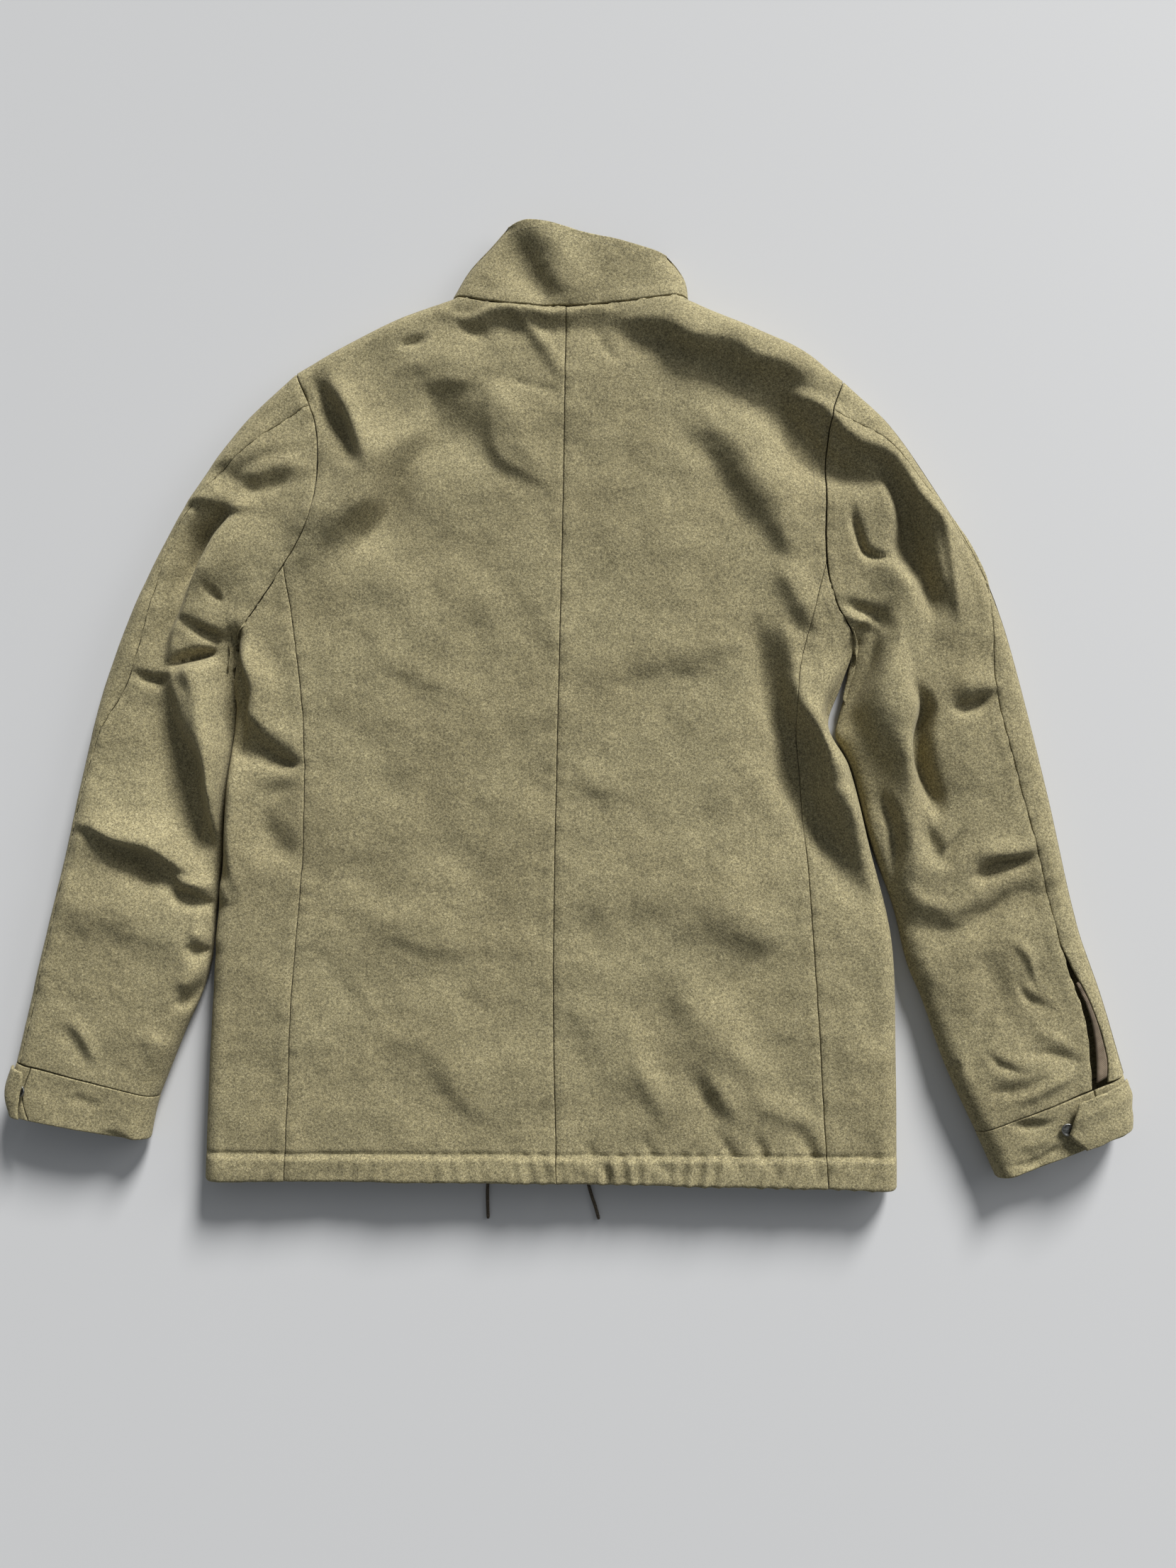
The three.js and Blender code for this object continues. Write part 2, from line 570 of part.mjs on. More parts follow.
function topSleeve(side) {
  const { armhole, outer, topEdge, seam } = sleeveCurves(side);
  const strip = planPatch(stretch(armhole, seam, 1), straight(topEdge.at(1), outer.at(1)), topEdge, outer);
  const under = sleeveBelow(side);
  const full = armhole.length;
  const stationsAbove = armholeStations(side).map((s) => full - s).filter((s) => s <= HINDARM_BELOW_TIP + 1e-6);
  const stationsBelow = armholeStationsBelow(side).slice(3, -1).reverse();
  const rows = sleeveRows.map((v) => {
    const width = strip.width(v);
    const widthBelow = under.width(v);
    const inside = direction(under.at(0, v), under.at(0.3, v));
    const top = stationsAbove.map((s) => {
      const u = inset(1 - s / HINDARM_BELOW_TIP, SEAM_GAP / 2 / width, 0);
      return point(strip.at(u, v), s < 1e-6 ? "tip" : "top", inside);
    });
    const bottom = stationsBelow.map((s, i) => {
      const gap = i === stationsBelow.length - 1 ? SEAM_GAP / 2 : 0;
      const u = s > full / 2
        ? spread(full - s, full, widthBelow) / widthBelow
        : 1 - (spread(s, full, widthBelow) + gap) / widthBelow;
      return point(under.at(u, v), "bottom", inside);
    });
    return [...top, ...bottom];
  });
  return wall(`top_sleeve_${side}`, WOOL_DARK, rows);
}

// Cuff: one band from the slit, in over the top, round the inner edge, back underneath and
// round the outer edge to the slit again
const CUFF_ROWS = [0, 0.35, 0.7, 1];
function cuffPatch(side) {
  const shift = (points) => moved(points, outward[side], -SEAM_GAP);
  const outer = smoothCurve(shift(CUFF_OUTER[side]));
  const inner = smoothCurve(shift(CUFF_INNER[side]));
  return planPatch(straight(outer.at(0), inner.at(0)), straight(outer.at(1), inner.at(1)), outer, inner);
}

function cuff(side) {
  const patch = cuffPatch(side);
  const slit = CUFF_SLIT[side];
  const edge = [FOLD_BAND, 8.5, 4.1, 1];
  const rows = CUFF_ROWS.map((v) => {
    const width = patch.width(v);
    const inwards = direction(patch.at(0, v), patch.at(1, v));
    const outwards = inwards.map((c) => -c);
    const fromOuter = (d, layer) => point(patch.at(d / width, v), layer, inwards);
    const fromInner = (d, layer) => point(patch.at(1 - d / width, v), layer, outwards);
    return [
      fromOuter(slit + SEAM_GAP / 2, "top"),
      ...even(slit, width - FOLD_BAND, 4).slice(0, -1).map((d) => fromOuter(d, "top")),
      ...edge.map((d) => fromInner(d, "top")),
      fromInner(0, "tip"),
      ...[4.1, FOLD_BAND, width / 2].map((d) => fromInner(d, "bottom")),
      ...[FOLD_BAND, 4.1].map((d) => fromOuter(d, "bottom")),
      fromOuter(0, "tip"),
      ...[1, 4.1, 8.5, FOLD_BAND, slit - SEAM_GAP / 2].map((d) => fromOuter(d, "top")),
    ];
  });
  return wall(`cuff_${side}`, WOOL_DARK, rows, () => COLLAR_WALL);
}

// Tab on the cuff: sewn in at the outer edge, its pointed end lifted by the button under it
function cuffTab(side) {
  const patch = cuffPatch(side);
  const rows = CUFF_ROWS.map((v, i) => {
    const row = inset(v, 0.06, 0.06);
    const width = patch.width(row);
    const inwards = direction(patch.at(0, row), patch.at(1, row));
    const reach = TAB_REACH[side][i];
    const stations = [1.6, 4.1, 8.5, ...even(8.5, reach, 4)];
    return stations.map((d) => {
      const plan = patch.at(d / width, row);
      const { z, normal } = skin("top", plan[0], plan[1], inwards);
      const rise = WALL + 0.45 + TAB_RISE * smooth((d - 1.6) / (TAB_REACH[side][1] * 0.5));
      return { x: plan[0] + normal[0] * rise, y: plan[1] + normal[1] * rise, z: z + normal[2] * rise, normal };
    });
  });
  return wall(`cuff_tab_${side}`, WOOL, rows, () => WALL);
}

// Button under the tab's end: a short shank and a rounded head
function cuffButton(side) {
  const [x, y] = TAB_BUTTON[side];
  const { z, normal } = skin("top", x, y, [1, 0]);
  const rim = BUTTON_RADIUS;
  const profile = [[0, 0], [2.2, 0], [2.2, 1.2], [rim - 0.6, 1.2], [rim, 1.7], [rim, 2.4], [rim - 0.8, 3], [0, 3.2]];
  const geometry = new THREE.LatheGeometry(profile.map(([r, h]) => new THREE.Vector2(r, h)), 14);
  const material = new THREE.MeshStandardMaterial({ color: GUNMETAL, roughness: 0.4, metalness: 0.9 });
  const mesh = new THREE.Mesh(geometry, material);
  mesh.name = `cuff_button_${side}`;
  const axis = new THREE.Vector3(...normal);
  mesh.quaternion.setFromUnitVectors(new THREE.Vector3(0, 1, 0), axis);
  mesh.position.set(x, y, z).addScaledVector(axis, 0.5);
  return mesh;
}

// Strip of facing that shows where the right sleeve's slit gapes open above the cuff
function slitFacing() {
  const { hindarm, topEdge } = sleeveCurves("right");
  const stops = [15.5, 16, 17, SLEEVE_ROWS - 0.1].map((row) => row / SLEEVE_ROWS);
  const gape = [0.35, 0.5, 0.45, 0.3]; // share of the slit that stays open, row by row
  const rowEdge = (curve, v) => {
    const row = Math.floor(v * SLEEVE_ROWS);
    return mixPoint(curve.at(row / SLEEVE_ROWS), curve.at((row + 1) / SLEEVE_ROWS), v * SLEEVE_ROWS - row);
  };
  const rows = stops.map((v, i) => {
    const [a, b] = [rowEdge(hindarm, v), rowEdge(topEdge, v)];
    return [gape[i], (1 + gape[i]) / 2, 1].map((u) => {
      const plan = [mix(a[0] + 0.4, b[0] - 0.6, u), mix(a[1], b[1], u)];
      const { z, normal } = skin("top", plan[0], plan[1], [-1, 0]);
      return { x: plan[0] + normal[0] * FACING_SINK, y: plan[1] + normal[1] * FACING_SINK,
        z: z + normal[2] * FACING_SINK, normal };
    });
  });
  return wall("slit_facing_right", FACING_BROWN, rows, () => 1.6);
}

// Collar: one band round the neck, flat under the front, folded at both sides, lying up from
// the back neck seam. Its left end lies lowest and its right end over it.
function collar() {
  const up = 1; // clears the neck seam
  const folds = Object.fromEntries(SIDES.map((s) => [s, smoothCurve(moved(COLLAR_FOLD[s], 0, up))]));
  const neck = joined(reversed(smoothCurve(moved(BACK_NECK.left, 0, up))),
    smoothCurve(moved(BACK_NECK.right, 0, up)));
  const back = planPatch(neck, smoothCurve(moved(COLLAR_TOP, 0, up)), folds.left, folds.right);
  const END = FRONT_OVERLAP / 2 - 8; // how far each end passes the middle
  const front = Object.fromEntries(SIDES.map((side) => {
    const seam = frontNeck(side, up);
    const cut = (seam.length - FRONT_OVERLAP / 2 + END) / seam.length;
    const middle = seam.at(cut);
    const topEnd = [middle[0], COLLAR_FRONT_TOP];
    const patch = planPatch(stretch(seam, 0, cut), straight(folds[side].at(1), topEnd),
      folds[side], straight(middle, topEnd));
    return [side, { patch, full: seam.length * cut, stations: frontNeckStations(seam.length, seam.length * cut) }];
  }));
  const lift = (x) => (COLLAR_WALL + SEAM_GAP) * overlapShare(x);
  const below = (side, v) => {
    const { patch, full, stations } = front[side];
    const width = patch.width(v);
    const liftAt = side === "left" ? () => 0 : lift;
    const inwards = side === "left" ? [1, 0] : [-1, 0];
    return stations.slice(1).map((s) => {
      const plan = patch.at(spread(s, full, width) / width, v);
      return point(plan, "bottom", inwards, liftAt(plan[0]));
    });
  };
  const rows = [0, 0.2, 0.4, 0.6, 0.8, 1].map((v) => {
    const width = back.width(v);
    const fromLeft = (d, layer) => point(back.at(d / width, v), layer, [1, 0]);
    const fromRight = (d, layer) => point(back.at(1 - d / width, v), layer, [-1, 0]);
    return [
      ...below("left", v).reverse(),
      fromLeft(0, "tip"),
      ...EDGE_STATIONS.map((d) => fromLeft(d, "top")),
      ...even(FOLD_BAND, width - FOLD_BAND, 8).map((d) => fromLeft(d, "top")),
      ...[...EDGE_STATIONS].reverse().slice(1).map((d) => fromRight(d, "top")),
      fromRight(0, "tip"),
      ...below("right", v),
    ];
  });
  return wall("collar", WOOL, rows, () => COLLAR_WALL);
}

// Drawcord end: leaves the front hem's edge, droops to the surface and lies there
function drawcord(side) {
  const route = new THREE.CatmullRomCurve3(CORD_ROUTE[side].map((p) => new THREE.Vector3(...p)));
  const section = new THREE.Shape();
  const SECTION_SIDES = 8;
  for (let i = 0; i < SECTION_SIDES; i++) {
    const angle = (2 * Math.PI * i) / SECTION_SIDES;
    const [x, y] = [CORD_RADIUS * Math.cos(angle), CORD_RADIUS * Math.sin(angle)];
    if (i) section.lineTo(x, y);
    else section.moveTo(x, y);
  }
  section.closePath();
  const geometry = new THREE.ExtrudeGeometry(section, { steps: 12, extrudePath: route });
  const mesh = new THREE.Mesh(geometry, new THREE.MeshStandardMaterial({ color: CORD_BROWN, roughness: 0.8 }));
  mesh.name = `drawcord_${side}`;
  return mesh;
}

const jacket = new THREE.Group();
for (const side of SIDES) {
  jacket.add(backPanel(side), sidePanel(side), frontPanel(side), underSleeve(side), topSleeve(side));
  jacket.add(cuff(side), cuffTab(side), cuffButton(side), drawcord(side));
}
jacket.add(collar(), slitFacing());

export default jacket;
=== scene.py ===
"""Wool military jacket laid face down, seen from above: cloth, trims, floor, light, camera."""
import math

import bpy
import numpy as np
from mathutils import Matrix, Vector


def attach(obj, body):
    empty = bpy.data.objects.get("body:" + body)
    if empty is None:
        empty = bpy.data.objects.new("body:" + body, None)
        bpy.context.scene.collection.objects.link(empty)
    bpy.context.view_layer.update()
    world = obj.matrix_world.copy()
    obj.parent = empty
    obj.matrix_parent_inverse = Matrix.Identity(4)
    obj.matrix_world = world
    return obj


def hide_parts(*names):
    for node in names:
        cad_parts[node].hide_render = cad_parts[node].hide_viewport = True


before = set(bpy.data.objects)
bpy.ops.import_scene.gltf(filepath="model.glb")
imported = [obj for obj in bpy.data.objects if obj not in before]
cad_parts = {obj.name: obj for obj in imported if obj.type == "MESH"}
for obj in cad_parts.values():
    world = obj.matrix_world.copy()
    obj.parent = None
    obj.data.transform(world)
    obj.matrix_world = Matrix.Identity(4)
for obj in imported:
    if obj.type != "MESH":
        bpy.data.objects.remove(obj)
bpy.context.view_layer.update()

MM = 0.001
SIDES = ("left", "right")

# Camera at the photograph's angle: place in metres, turns in degrees
CAMERA_SENSOR = 36.0
CAMERA_LENS = 28.48
CAMERA_PLACE = (0.0362, -0.1021, 1.0085)
CAMERA_TURNS = (("X", -1.965), ("Y", -1.04), ("Z", -0.11))


def placed(name, data):
    """A new object in the scene."""
    thing = bpy.data.objects.new(name, data)
    bpy.context.scene.collection.objects.link(thing)
    return thing


def make_camera():
    data = bpy.data.cameras.new("camera")
    data.sensor_width = CAMERA_SENSOR
    data.lens = CAMERA_LENS
    camera = placed("camera", data)
    turn = Matrix.Identity(3)
    for axis, degrees in CAMERA_TURNS:
        turn = turn @ Matrix.Rotation(math.radians(degrees), 3, axis)
    camera.matrix_world = Matrix.Translation(CAMERA_PLACE) @ turn.transposed().to_4x4()
    bpy.context.scene.camera = camera


make_camera()

# Driving sizes in millimetres
WALL = 2.5
COLLAR_WALL = 3
COLLAR_DEPTH = 66
COLLAR_GAP = 1
COLLAR_SETBACK = 8
CUFF_DEPTH = 48
HEM_WALL = 6
HEM_DEPTH = 21
HEM_LINE_Y = -361
HEM_FOOT_Y = -380
SEAM_GAP = 0.3
SEAM_ROUND = 0.9
SEAM_REACH = 16
FOLD_BAND = 14
EDGE_REACH = 40
TIP_HEIGHT = 10
BODY_LOFT = 24
SLEEVE_LOFT = 27
CEILING = 36
CEILING_SOFTNESS = 6
FLOOR_SOFTNESS = 3
LINING_LOWEST = 0.4
FRONT_OVERLAP = 40
FACING_WALL = 1.6
FACING_SINK = -0.6
TAB_RISE = 4
TAB_GAP = 0.45
CORD_RADIUS = 1.3
BUTTON_RADIUS = 5
BUTTON_STAND = 0.5
BUTTON_SIDES = 36
THREAD_RADII = np.array([0.12, 0.28, 0.12])
THREAD_SINK = 0.08
STITCH_PITCH = 3.4
HEM_WRINKLE_PITCH = 10.5
HINDARM_BELOW_TIP = 31

# How folds run out past their ends, thin there, sway, and how strongly the creases are drawn
RUN_OUT = 0.12
END_WIDTH = 0.6
TAPER_SHARE = 0.42
WANDER = 3
WANDER_WAVE = 70
CREASE_STRENGTH = 1.1

# Outlines, each a smooth curve through x, y knots
CENTRE_BACK = [[-6, -383], [-9, -235], [-7, -65], [-3, 120], [0, 316]]
HEM_END = {"left": [-221, -383], "right": [207, -386]}
HEM_CORNER = {"left": [-287, -384], "right": [263, -388]}
NECK_POINT = {"left": [-93, 327], "right": [99, 325]}
SHOULDER_TIP = {"left": [-220, 266], "right": [224, 258]}
CROTCH = {"left": [-264, 50], "right": [234, 45]}
SIDE_TOP = {"left": [-227, 106], "right": [208, 108]}
SIDE_SEAM = {
    "left": [HEM_END["left"], [-219, -303], [-216, -227], [-209, -120], [-209, -30], [-217, 47],
             SIDE_TOP["left"]],
    "right": [HEM_END["right"], [201, -270], [196, -190], [188, -65], [184, 6], [200, 78],
              SIDE_TOP["right"]],
}
BODY_EDGE = {
    "left": [HEM_CORNER["left"], [-285, -300], [-280, -179], [-275, -111], [-270, -42], [-267, -8],
             [-269, 16], CROTCH["left"]],
    "right": [HEM_CORNER["right"], [263, -290], [260, -190], [241, -110], [227, -53], [211, -22],
              [221, 10], CROTCH["right"]],
}
ARMHOLE = {
    "left": [CROTCH["left"], SIDE_TOP["left"], [-205, 145], [-200, 190], [-204, 228],
             SHOULDER_TIP["left"]],
    "right": [CROTCH["right"], [216, 75], SIDE_TOP["right"], [209, 176], [212, 225],
              SHOULDER_TIP["right"]],
}
SHOULDER = {
    "left": [NECK_POINT["left"], [-135, 312], [-180, 290], SHOULDER_TIP["left"]],
    "right": [NECK_POINT["right"], [150, 302], [190, 284], SHOULDER_TIP["right"]],
}
BACK_NECK = {
    "left": [[0, 316], [-50, 319], NECK_POINT["left"]],
    "right": [[0, 316], [48, 320], NECK_POINT["right"]],
}
FRONT_NECK_LOW = 254
SLEEVE_OUTER = {
    "left": [SHOULDER_TIP["left"], [-263, 225], [-305, 166], [-336, 108], [-360, 50], [-378, -7],
             [-402, -122], [-415, -180], [-439, -290]],
    "right": [SHOULDER_TIP["right"], [260, 223], [299, 165], [332, 107], [353, 50], [381, -64],
              [405, -177], [423, -233], [441, -296]],
}
SLEEVE_INNER = {
    "left": [[-264.6, 50], [-269.8, 16], [-267.8, -8], [-271, -42], [-276.4, -111], [-282.5, -179],
             [-285, -208], [-292, -236], [-304, -264], [-313, -287], [-325, -318]],
    "right": [[234.6, 45], [228.5, 15], [220, -13], [217, -29], [223.5, -44], [231, -63],
              [242.5, -110], [262, -165], [273, -211], [284, -239], [301, -289], [325, -342]],
}
HINDARM = {
    "left": [[-261, 197], [-310, 143], [-330, 85], [-350, 14], [-374, -32],
             [-394, -110], [-408, -180], [-432, -291]],
    "right": [[255, 206], [313, 132], [336, 90], [340, 10], [367, -103], [387, -190],
              [393, -210], [407, -255], [412, -306.5]],
}
SLIT_STITCH = HINDARM["right"][:6] + [[395, -208], [410, -238], [424, -280], [424, -301]]
CUFF_OUTER = {
    "left": [[-439, -290], [-446, -313], [-441, -333]],
    "right": [[441, -296], [445.2, -316], [444.6, -339]],
}
CUFF_INNER = {
    "left": [[-325, -318], [-329, -335], [-332, -352]],
    "right": [[325, -342], [333, -360], [341, -378]],
}
CUFF_SLIT = {"left": 17, "right": 30}
COLLAR_FOLD = {
    "left": [NECK_POINT["left"], [-80, 349], [-62, 369], [-49, 384]],
    "right": [NECK_POINT["right"], [97, 339], [90, 351], [82, 360]],
}
COLLAR_TOP = [[-49, 384], [-30, 388], [14, 378], [51, 369], [82, 360]]
COLLAR_FRONT_TOP = 318
TAB_REACH = {"left": [14, 18, 18, 14], "right": [47, 52, 57.5, 43]}
TAB_BUTTON = {"left": [-431, -312], "right": [392, -337]}
CORD_REST = CORD_RADIUS + 0.05
CORD_ROUTE = {
    "left": [[-62, -383.05, 2.6], [-62, -387, 2.6], [-62.4, -396, 1.7], [-62.2, -406, CORD_REST],
             [-61.8, -417, CORD_REST]],
    "right": [[18.2, -383.05, 2.6], [18.4, -387, 2.6], [21, -397, 1.7], [24.4, -407, CORD_REST],
              [27.2, -417, CORD_REST]],
}

# Large folds: x1, y1, x2, y2, bow, height, width to the left and to the right
FOLDS = [
    (45, 313, 208, 263, 0, 11, 22, 12),
    (65, 276, 192, 214, 8, -3, 14, 30),
    (150, 255, 258, 165, -14, -9, 15, 22),
    (85, 262, 192, 90, 17, 5, 28, 13),
    (90, 225, 165, 100, 8, -2, 16, 26),
    (170, 108, 202, 55, 0, 5, 18, 12),
    (200, 30, 248, -155, -12, 13, 15, 12),
    (156, 62, 246, -165, -17, -11, 20, 18),
    (25, 24, 152, 44, 0, 2.4, 26, 12),
    (80, -130, 172, -196, 0, 6, 50, 28),
    (0, -158, 95, -164, 0, 3.5, 34, 22),
    (90, -172, 170, -188, 0, 3.5, 34, 18),
    (84, -206, 156, -328, 0, 6, 22, 22),
    (8, -235, 112, -352, 0, 3, 20, 18),
    (-192, 272, -150, 182, 0, 7, 20, 10),
    (-205, 265, -168, 188, 0, -4, 7, 10),
    (-135, 268, -55, 268, 0, 4, 14, 12),
    (-64, 252, -12, 182, 0, 4.5, 38, 13),
    (-112, 262, -85, 185, 0, -6, 26, 26),
    (-132, 214, -216, 108, 0, 9, 14, 30),
    (-118, 192, -185, 98, 0, -5, 26, 14),
    (-292, 185, -212, 208, 0, 5, 18, 8),
    (-260, 162, -308, 86, 0, 9, 28, 5),
    (-272, 155, -316, 80, 0, -9, 8, 14),
    (-302, 60, -262, 40, 0, -4, 5, 7),
    (-320, 26, -268, 40, 0, -4, 5, 6),
    (-274, 60, -254, -36, 0, -15, 7, 14),
    (-304, 36, -264, -126, 0, 14, 14, 9),
    (-330, 20, -281, -150, 0, -11, 13, 46),
    (-256, -16, -214, -58, 0, -4, 7, 7),
    (-396, -96, -290, -136, 0, 9, 28, 6),
    (-362, -118, -304, -148, 0, -5, 8, 15),
    (-408, -158, -322, -188, 0, 5, 20, 16),
    (250, 175, 266, 115, 0, 5, 12, 8),
    (256, 190, 293, 64, 0, -8, 10, 12),
    (272, 190, 310, 66, 0, 9, 16, 7),
    (266, 128, 278, 18, 0, 7, 14, 14),
    (250, 66, 212, -30, 0, -15, 13, 12),
    (258, 38, 280, -170, 0, 9, 12, 20),
    (276, 6, 292, -94, 0, -12, 7, 6),
    (260, -178, 398, -142, -8, -3, 8, 16),
    (304, 4, 344, 14, 0, 5, 12, 8),
    (332, -300, 398, -288, 0, 2, 14, 10),
    (-34, 394, 22, 322, 0, 4, 42, 14),
    (-54, 386, -6, 316, 0, -4, 14, 20),
]

# Smaller creases and sharper edges of the large folds: height, width to the left and to the
# right, then x, y, x, y ... of the line that each follows
CREASES = [
    # right shoulder and back
    (4, 14, 7, 60, 306, 100, 293, 145, 277, 188, 260, 212, 246),
    (-3.4, 8, 22, 30, 300, 89, 280, 135, 260, 178, 242),
    (-5, 11, 15, 168, 264, 176, 228, 194, 200, 222, 184, 256, 172),
    (8, 12, 6, 186, 240, 212, 224, 240, 206, 262, 188, 284, 160),
    (3, 20, 8, 118, 202, 150, 168, 172, 134, 187, 104),
    (-2, 12, 26, 82, 236, 107, 200, 135, 156, 162, 120),
    (-2.4, 12, 10, 162, 95, 172, 69, 188, 54),
    (1.2, 10, 6, 173, 99, 185, 73, 198, 58),
    (-6, 16, 9, 152, 60, 158, 20, 168, -22, 184, -64, 200, -106, 222, -146),
    (10, 9, 9, 174, 66, 184, 16, 204, -36, 230, -86, 252, -140),
    (1, 16, 7, 60, 34, 100, 40, 134, 37, 152, 47),
    (-0.9, 8, 18, 28, 3, 61, 8, 89, 15, 112, 25, 138, 17),
    (-3, 6, 6, 198, -57, 230, -71),
    # right sleeve
    (-12, 13, 6, 241, 64, 232, 35, 221, 4, 213, -22, 218, -44),
    (-6, 30, 12, 228, 30, 224, -20, 240, -80, 262, -160, 290, -240, 318, -312),
    (7, 24, 9, 258, 58, 251, 22, 246, -10, 246, -44),
    (-7, 4, 5, 232, 156, 235, 133, 241, 119, 254, 113, 270, 112),
    (-4, 6, 6, 258, 165, 265, 141, 273, 110),
    (5, 13, 4, 262, 190, 282, 160, 298, 132, 307, 104, 308, 62),
    (-6, 9, 12, 256, 182, 266, 150, 278, 118, 286, 88, 290, 54),
    (-5, 4, 5, 219, 78, 234, 76, 247, 70, 259, 55),
    (3, 5, 5, 219, 68, 236, 66, 250, 60),
    (-5, 3, 5, 230, 56, 240, 60, 250, 54),
    (-8, 7, 5, 275, 14, 281, -8, 286, -40, 290, -76),
    (7, 7, 24, 262, 66, 267, 20, 272, -30, 276, -86),
    (-8, 3, 6, 305, -7, 323, -2, 342, 7),
    (-7, 6, 6, 246, -73, 260, -102, 262, -144),
    (-8, 3, 7, 318, -141, 343, -132, 370, -120),
    (4, 9, 5, 320, -130, 344, -124, 370, -112),
    (-5, 5, 6, 284, -92, 292, -117, 299, -127, 314, -108),
    (3, 8, 9, 270, -140, 283, -164, 302, -170, 318, -158, 334, -138),
    (-2.4, 6, 13, 253, -180, 284, -185, 313, -182, 340, -166, 358, -152, 376, -145),
    (2.6, 6, 3, 349, -191, 366, -206, 377, -228),
    (-2.4, 4, 5, 378, -206, 374, -218, 372, -230),
    (2, 6, 6, 366, -250, 380, -266, 398, -274),
    (-2.6, 11, 10, 327, -194, 336, -226, 344, -252),
    (-3, 4, 4, 357, -226, 368, -238, 382, -247),
    (-2.8, 8, 7, 331, -232, 324, -269, 320, -306),
    (-2.4, 3, 4, 334, -284, 344, -290, 362, -294),
    (-2.2, 3, 5, 360, -276, 380, -280, 404, -282),
    (-5, 4, 5, 296, -295, 312, -293),
    (3, 6, 4, 348, -316, 374, -306, 400, -292),
    (-2.6, 6, 5, 330, -308, 352, -308, 376, -300),
    (-3.4, 4, 5, 344, -338, 364, -335, 386, -331),
    (-2.4, 3, 4, 346, -366, 372, -360, 400, -349),
    (1.6, 5, 4, 350, -352, 372, -348, 384, -344),
    # left shoulder and back
    (-4, 5, 8, -203, 262, -193, 246, -183, 221, -168, 196),
    (5, 10, 6, -191, 260, -172, 222, -158, 188),
    (-3.6, 3, 4, -138, 290, -112, 289),
    (-2, 3, 3, -213, 258, -198, 232),
    (3, 8, 6, -118, 251, -95, 254, -70, 256),
    (6, 8, 18, -120, 236, -134, 204, -160, 168, -206, 112),
    (-5, 20, 8, -104, 240, -116, 202, -142, 160, -184, 102),
    (4, 22, 7, -62, 244, -53, 206, -40, 186, -10, 172),
    (-3, 12, 24, -86, 246, -72, 206, -50, 172),
    (-1.5, 4, 5, -60, 262, -20, 251, 6, 243),
    (-2, 4, 4, 18, 302, 47, 268),
    (-2, 5, 5, -94, 314, -60, 284),
    (3, 5, 4, -44, 308, -20, 288, 4, 258),
    (3.5, 4, 9, -112, 316, -40, 311, 62, 311),
    (-2.5, 6, 8, -100, 300, -30, 297, 40, 300),
    (-5, 13, 13, -248, -82, -232, -112, -213, -144),
    (-2.4, 7, 6, -252, -78, -213, -71),
    # left sleeve
    (4, 8, 6, -264, 183, -240, 184, -209, 191),
    (-4, 6, 8, -258, 171, -226, 175),
    (7, 16, 5, -261, 153, -272, 132, -286, 110, -296, 91, -301, 73, -314, 24),
    (-7, 5, 18, -270, 154, -282, 132, -296, 110, -306, 91, -311, 73, -324, 24),
    (7, 15, 4, -314, 162, -292, 157, -268, 153, -250, 158),
    (-4, 3, 4, -288, 91, -275, 76),
    (-8, 4, 6, -306, 62, -288, 56, -272, 46, -262, 36),
    (-9, 4, 4, -318, 27, -304, 31, -288, 39, -268, 44),
    (4, 5, 12, -312, 16, -296, 21, -277, 26),
    (-15, 6, 14, -274, 54, -266, 18, -261, -12, -254, -34, -242, -50),
    (9, 14, 5, -262, 62, -254, 21, -245, -14, -218, -52),
    (-7, 4, 7, -248, -32, -232, -50, -212, -54),
    (-6, 3, 8, -347, 24, -332, 17, -316, 18),
    (8, 9, 6, -314, 24, -303, -18, -290, -50, -279, -90, -268, -130, -262, -152),
    (-8, 7, 20, -322, 14, -314, -26, -302, -60, -290, -100, -278, -136, -272, -152),
    (5, 14, 4, -392, -100, -360, -111, -328, -124, -296, -138),
    (-6, 5, 12, -374, -110, -350, -122, -332, -138, -312, -146),
    (-8, 5, 8, -312, -140, -303, -158, -288, -168, -270, -164),
    (6, 8, 7, -308, -136, -296, -148, -280, -152, -268, -148),
    (-7, 4, 8, -304, -203, -288, -202, -272, -200),
    (4, 6, 6, -300, -192, -270, -188),
    (-8, 4, 8, -312, -241, -296, -237, -282, -222),
    (4, 7, 5, -309, -230, -296, -226, -282, -212),
    (-1.8, 7, 7, -411, -259, -394, -272, -374, -295),
    (2.4, 7, 6, -396, -255, -380, -268, -362, -290),
    (2, 8, 7, -342, -268, -326, -278, -312, -290),
    (-1.2, 3, 4, -394, -322, -368, -324),
    (-2, 3, 3, -374, -346, -341, -350),
    # lower back, hem and collar
    (-2.8, 8, 7, 94, -294, 112, -315, 126, -340),
    (3.2, 7, 6, 114, -294, 124, -312, 134, -333),
    (2, 7, 6, 140, -311, 168, -322, 196, -338),
    (-3.4, 5, 5, 178, -334, 192, -356, 198, -377),
    (-2.6, 5, 5, 150, -340, 160, -360, 170, -378),
    (-2.6, 5, 5, 122, -342, 134, -362, 140, -378),
    (-2.2, 5, 5, 60, -346, 74, -364, 82, -379),
    (-2.2, 4, 5, 20, -348, 30, -366, 36, -380),
    (3.5, 26, 9, -30, 390, -14, 356, 8, 325),
    (-3.5, 12, 20, -46, 380, -27, 349, -4, 323),
    (2, 16, 10, -170, 60, -120, 20, -70, 4),
    (2, 18, 10, -190, -150, -130, -186, -60, -200),
    (1.8, 16, 9, -160, -250, -90, -300, -50, -350),
    (-1.8, 10, 14, -205, -200, -150, -262),
    (2, 18, 12, 6, -46, 30, -70, 60, -78),
    (1.6, 16, 12, -100, 120, -60, 60, -50, 0),
    (2, 12, 9, 40, -250, 66, -300, 80, -350),
]

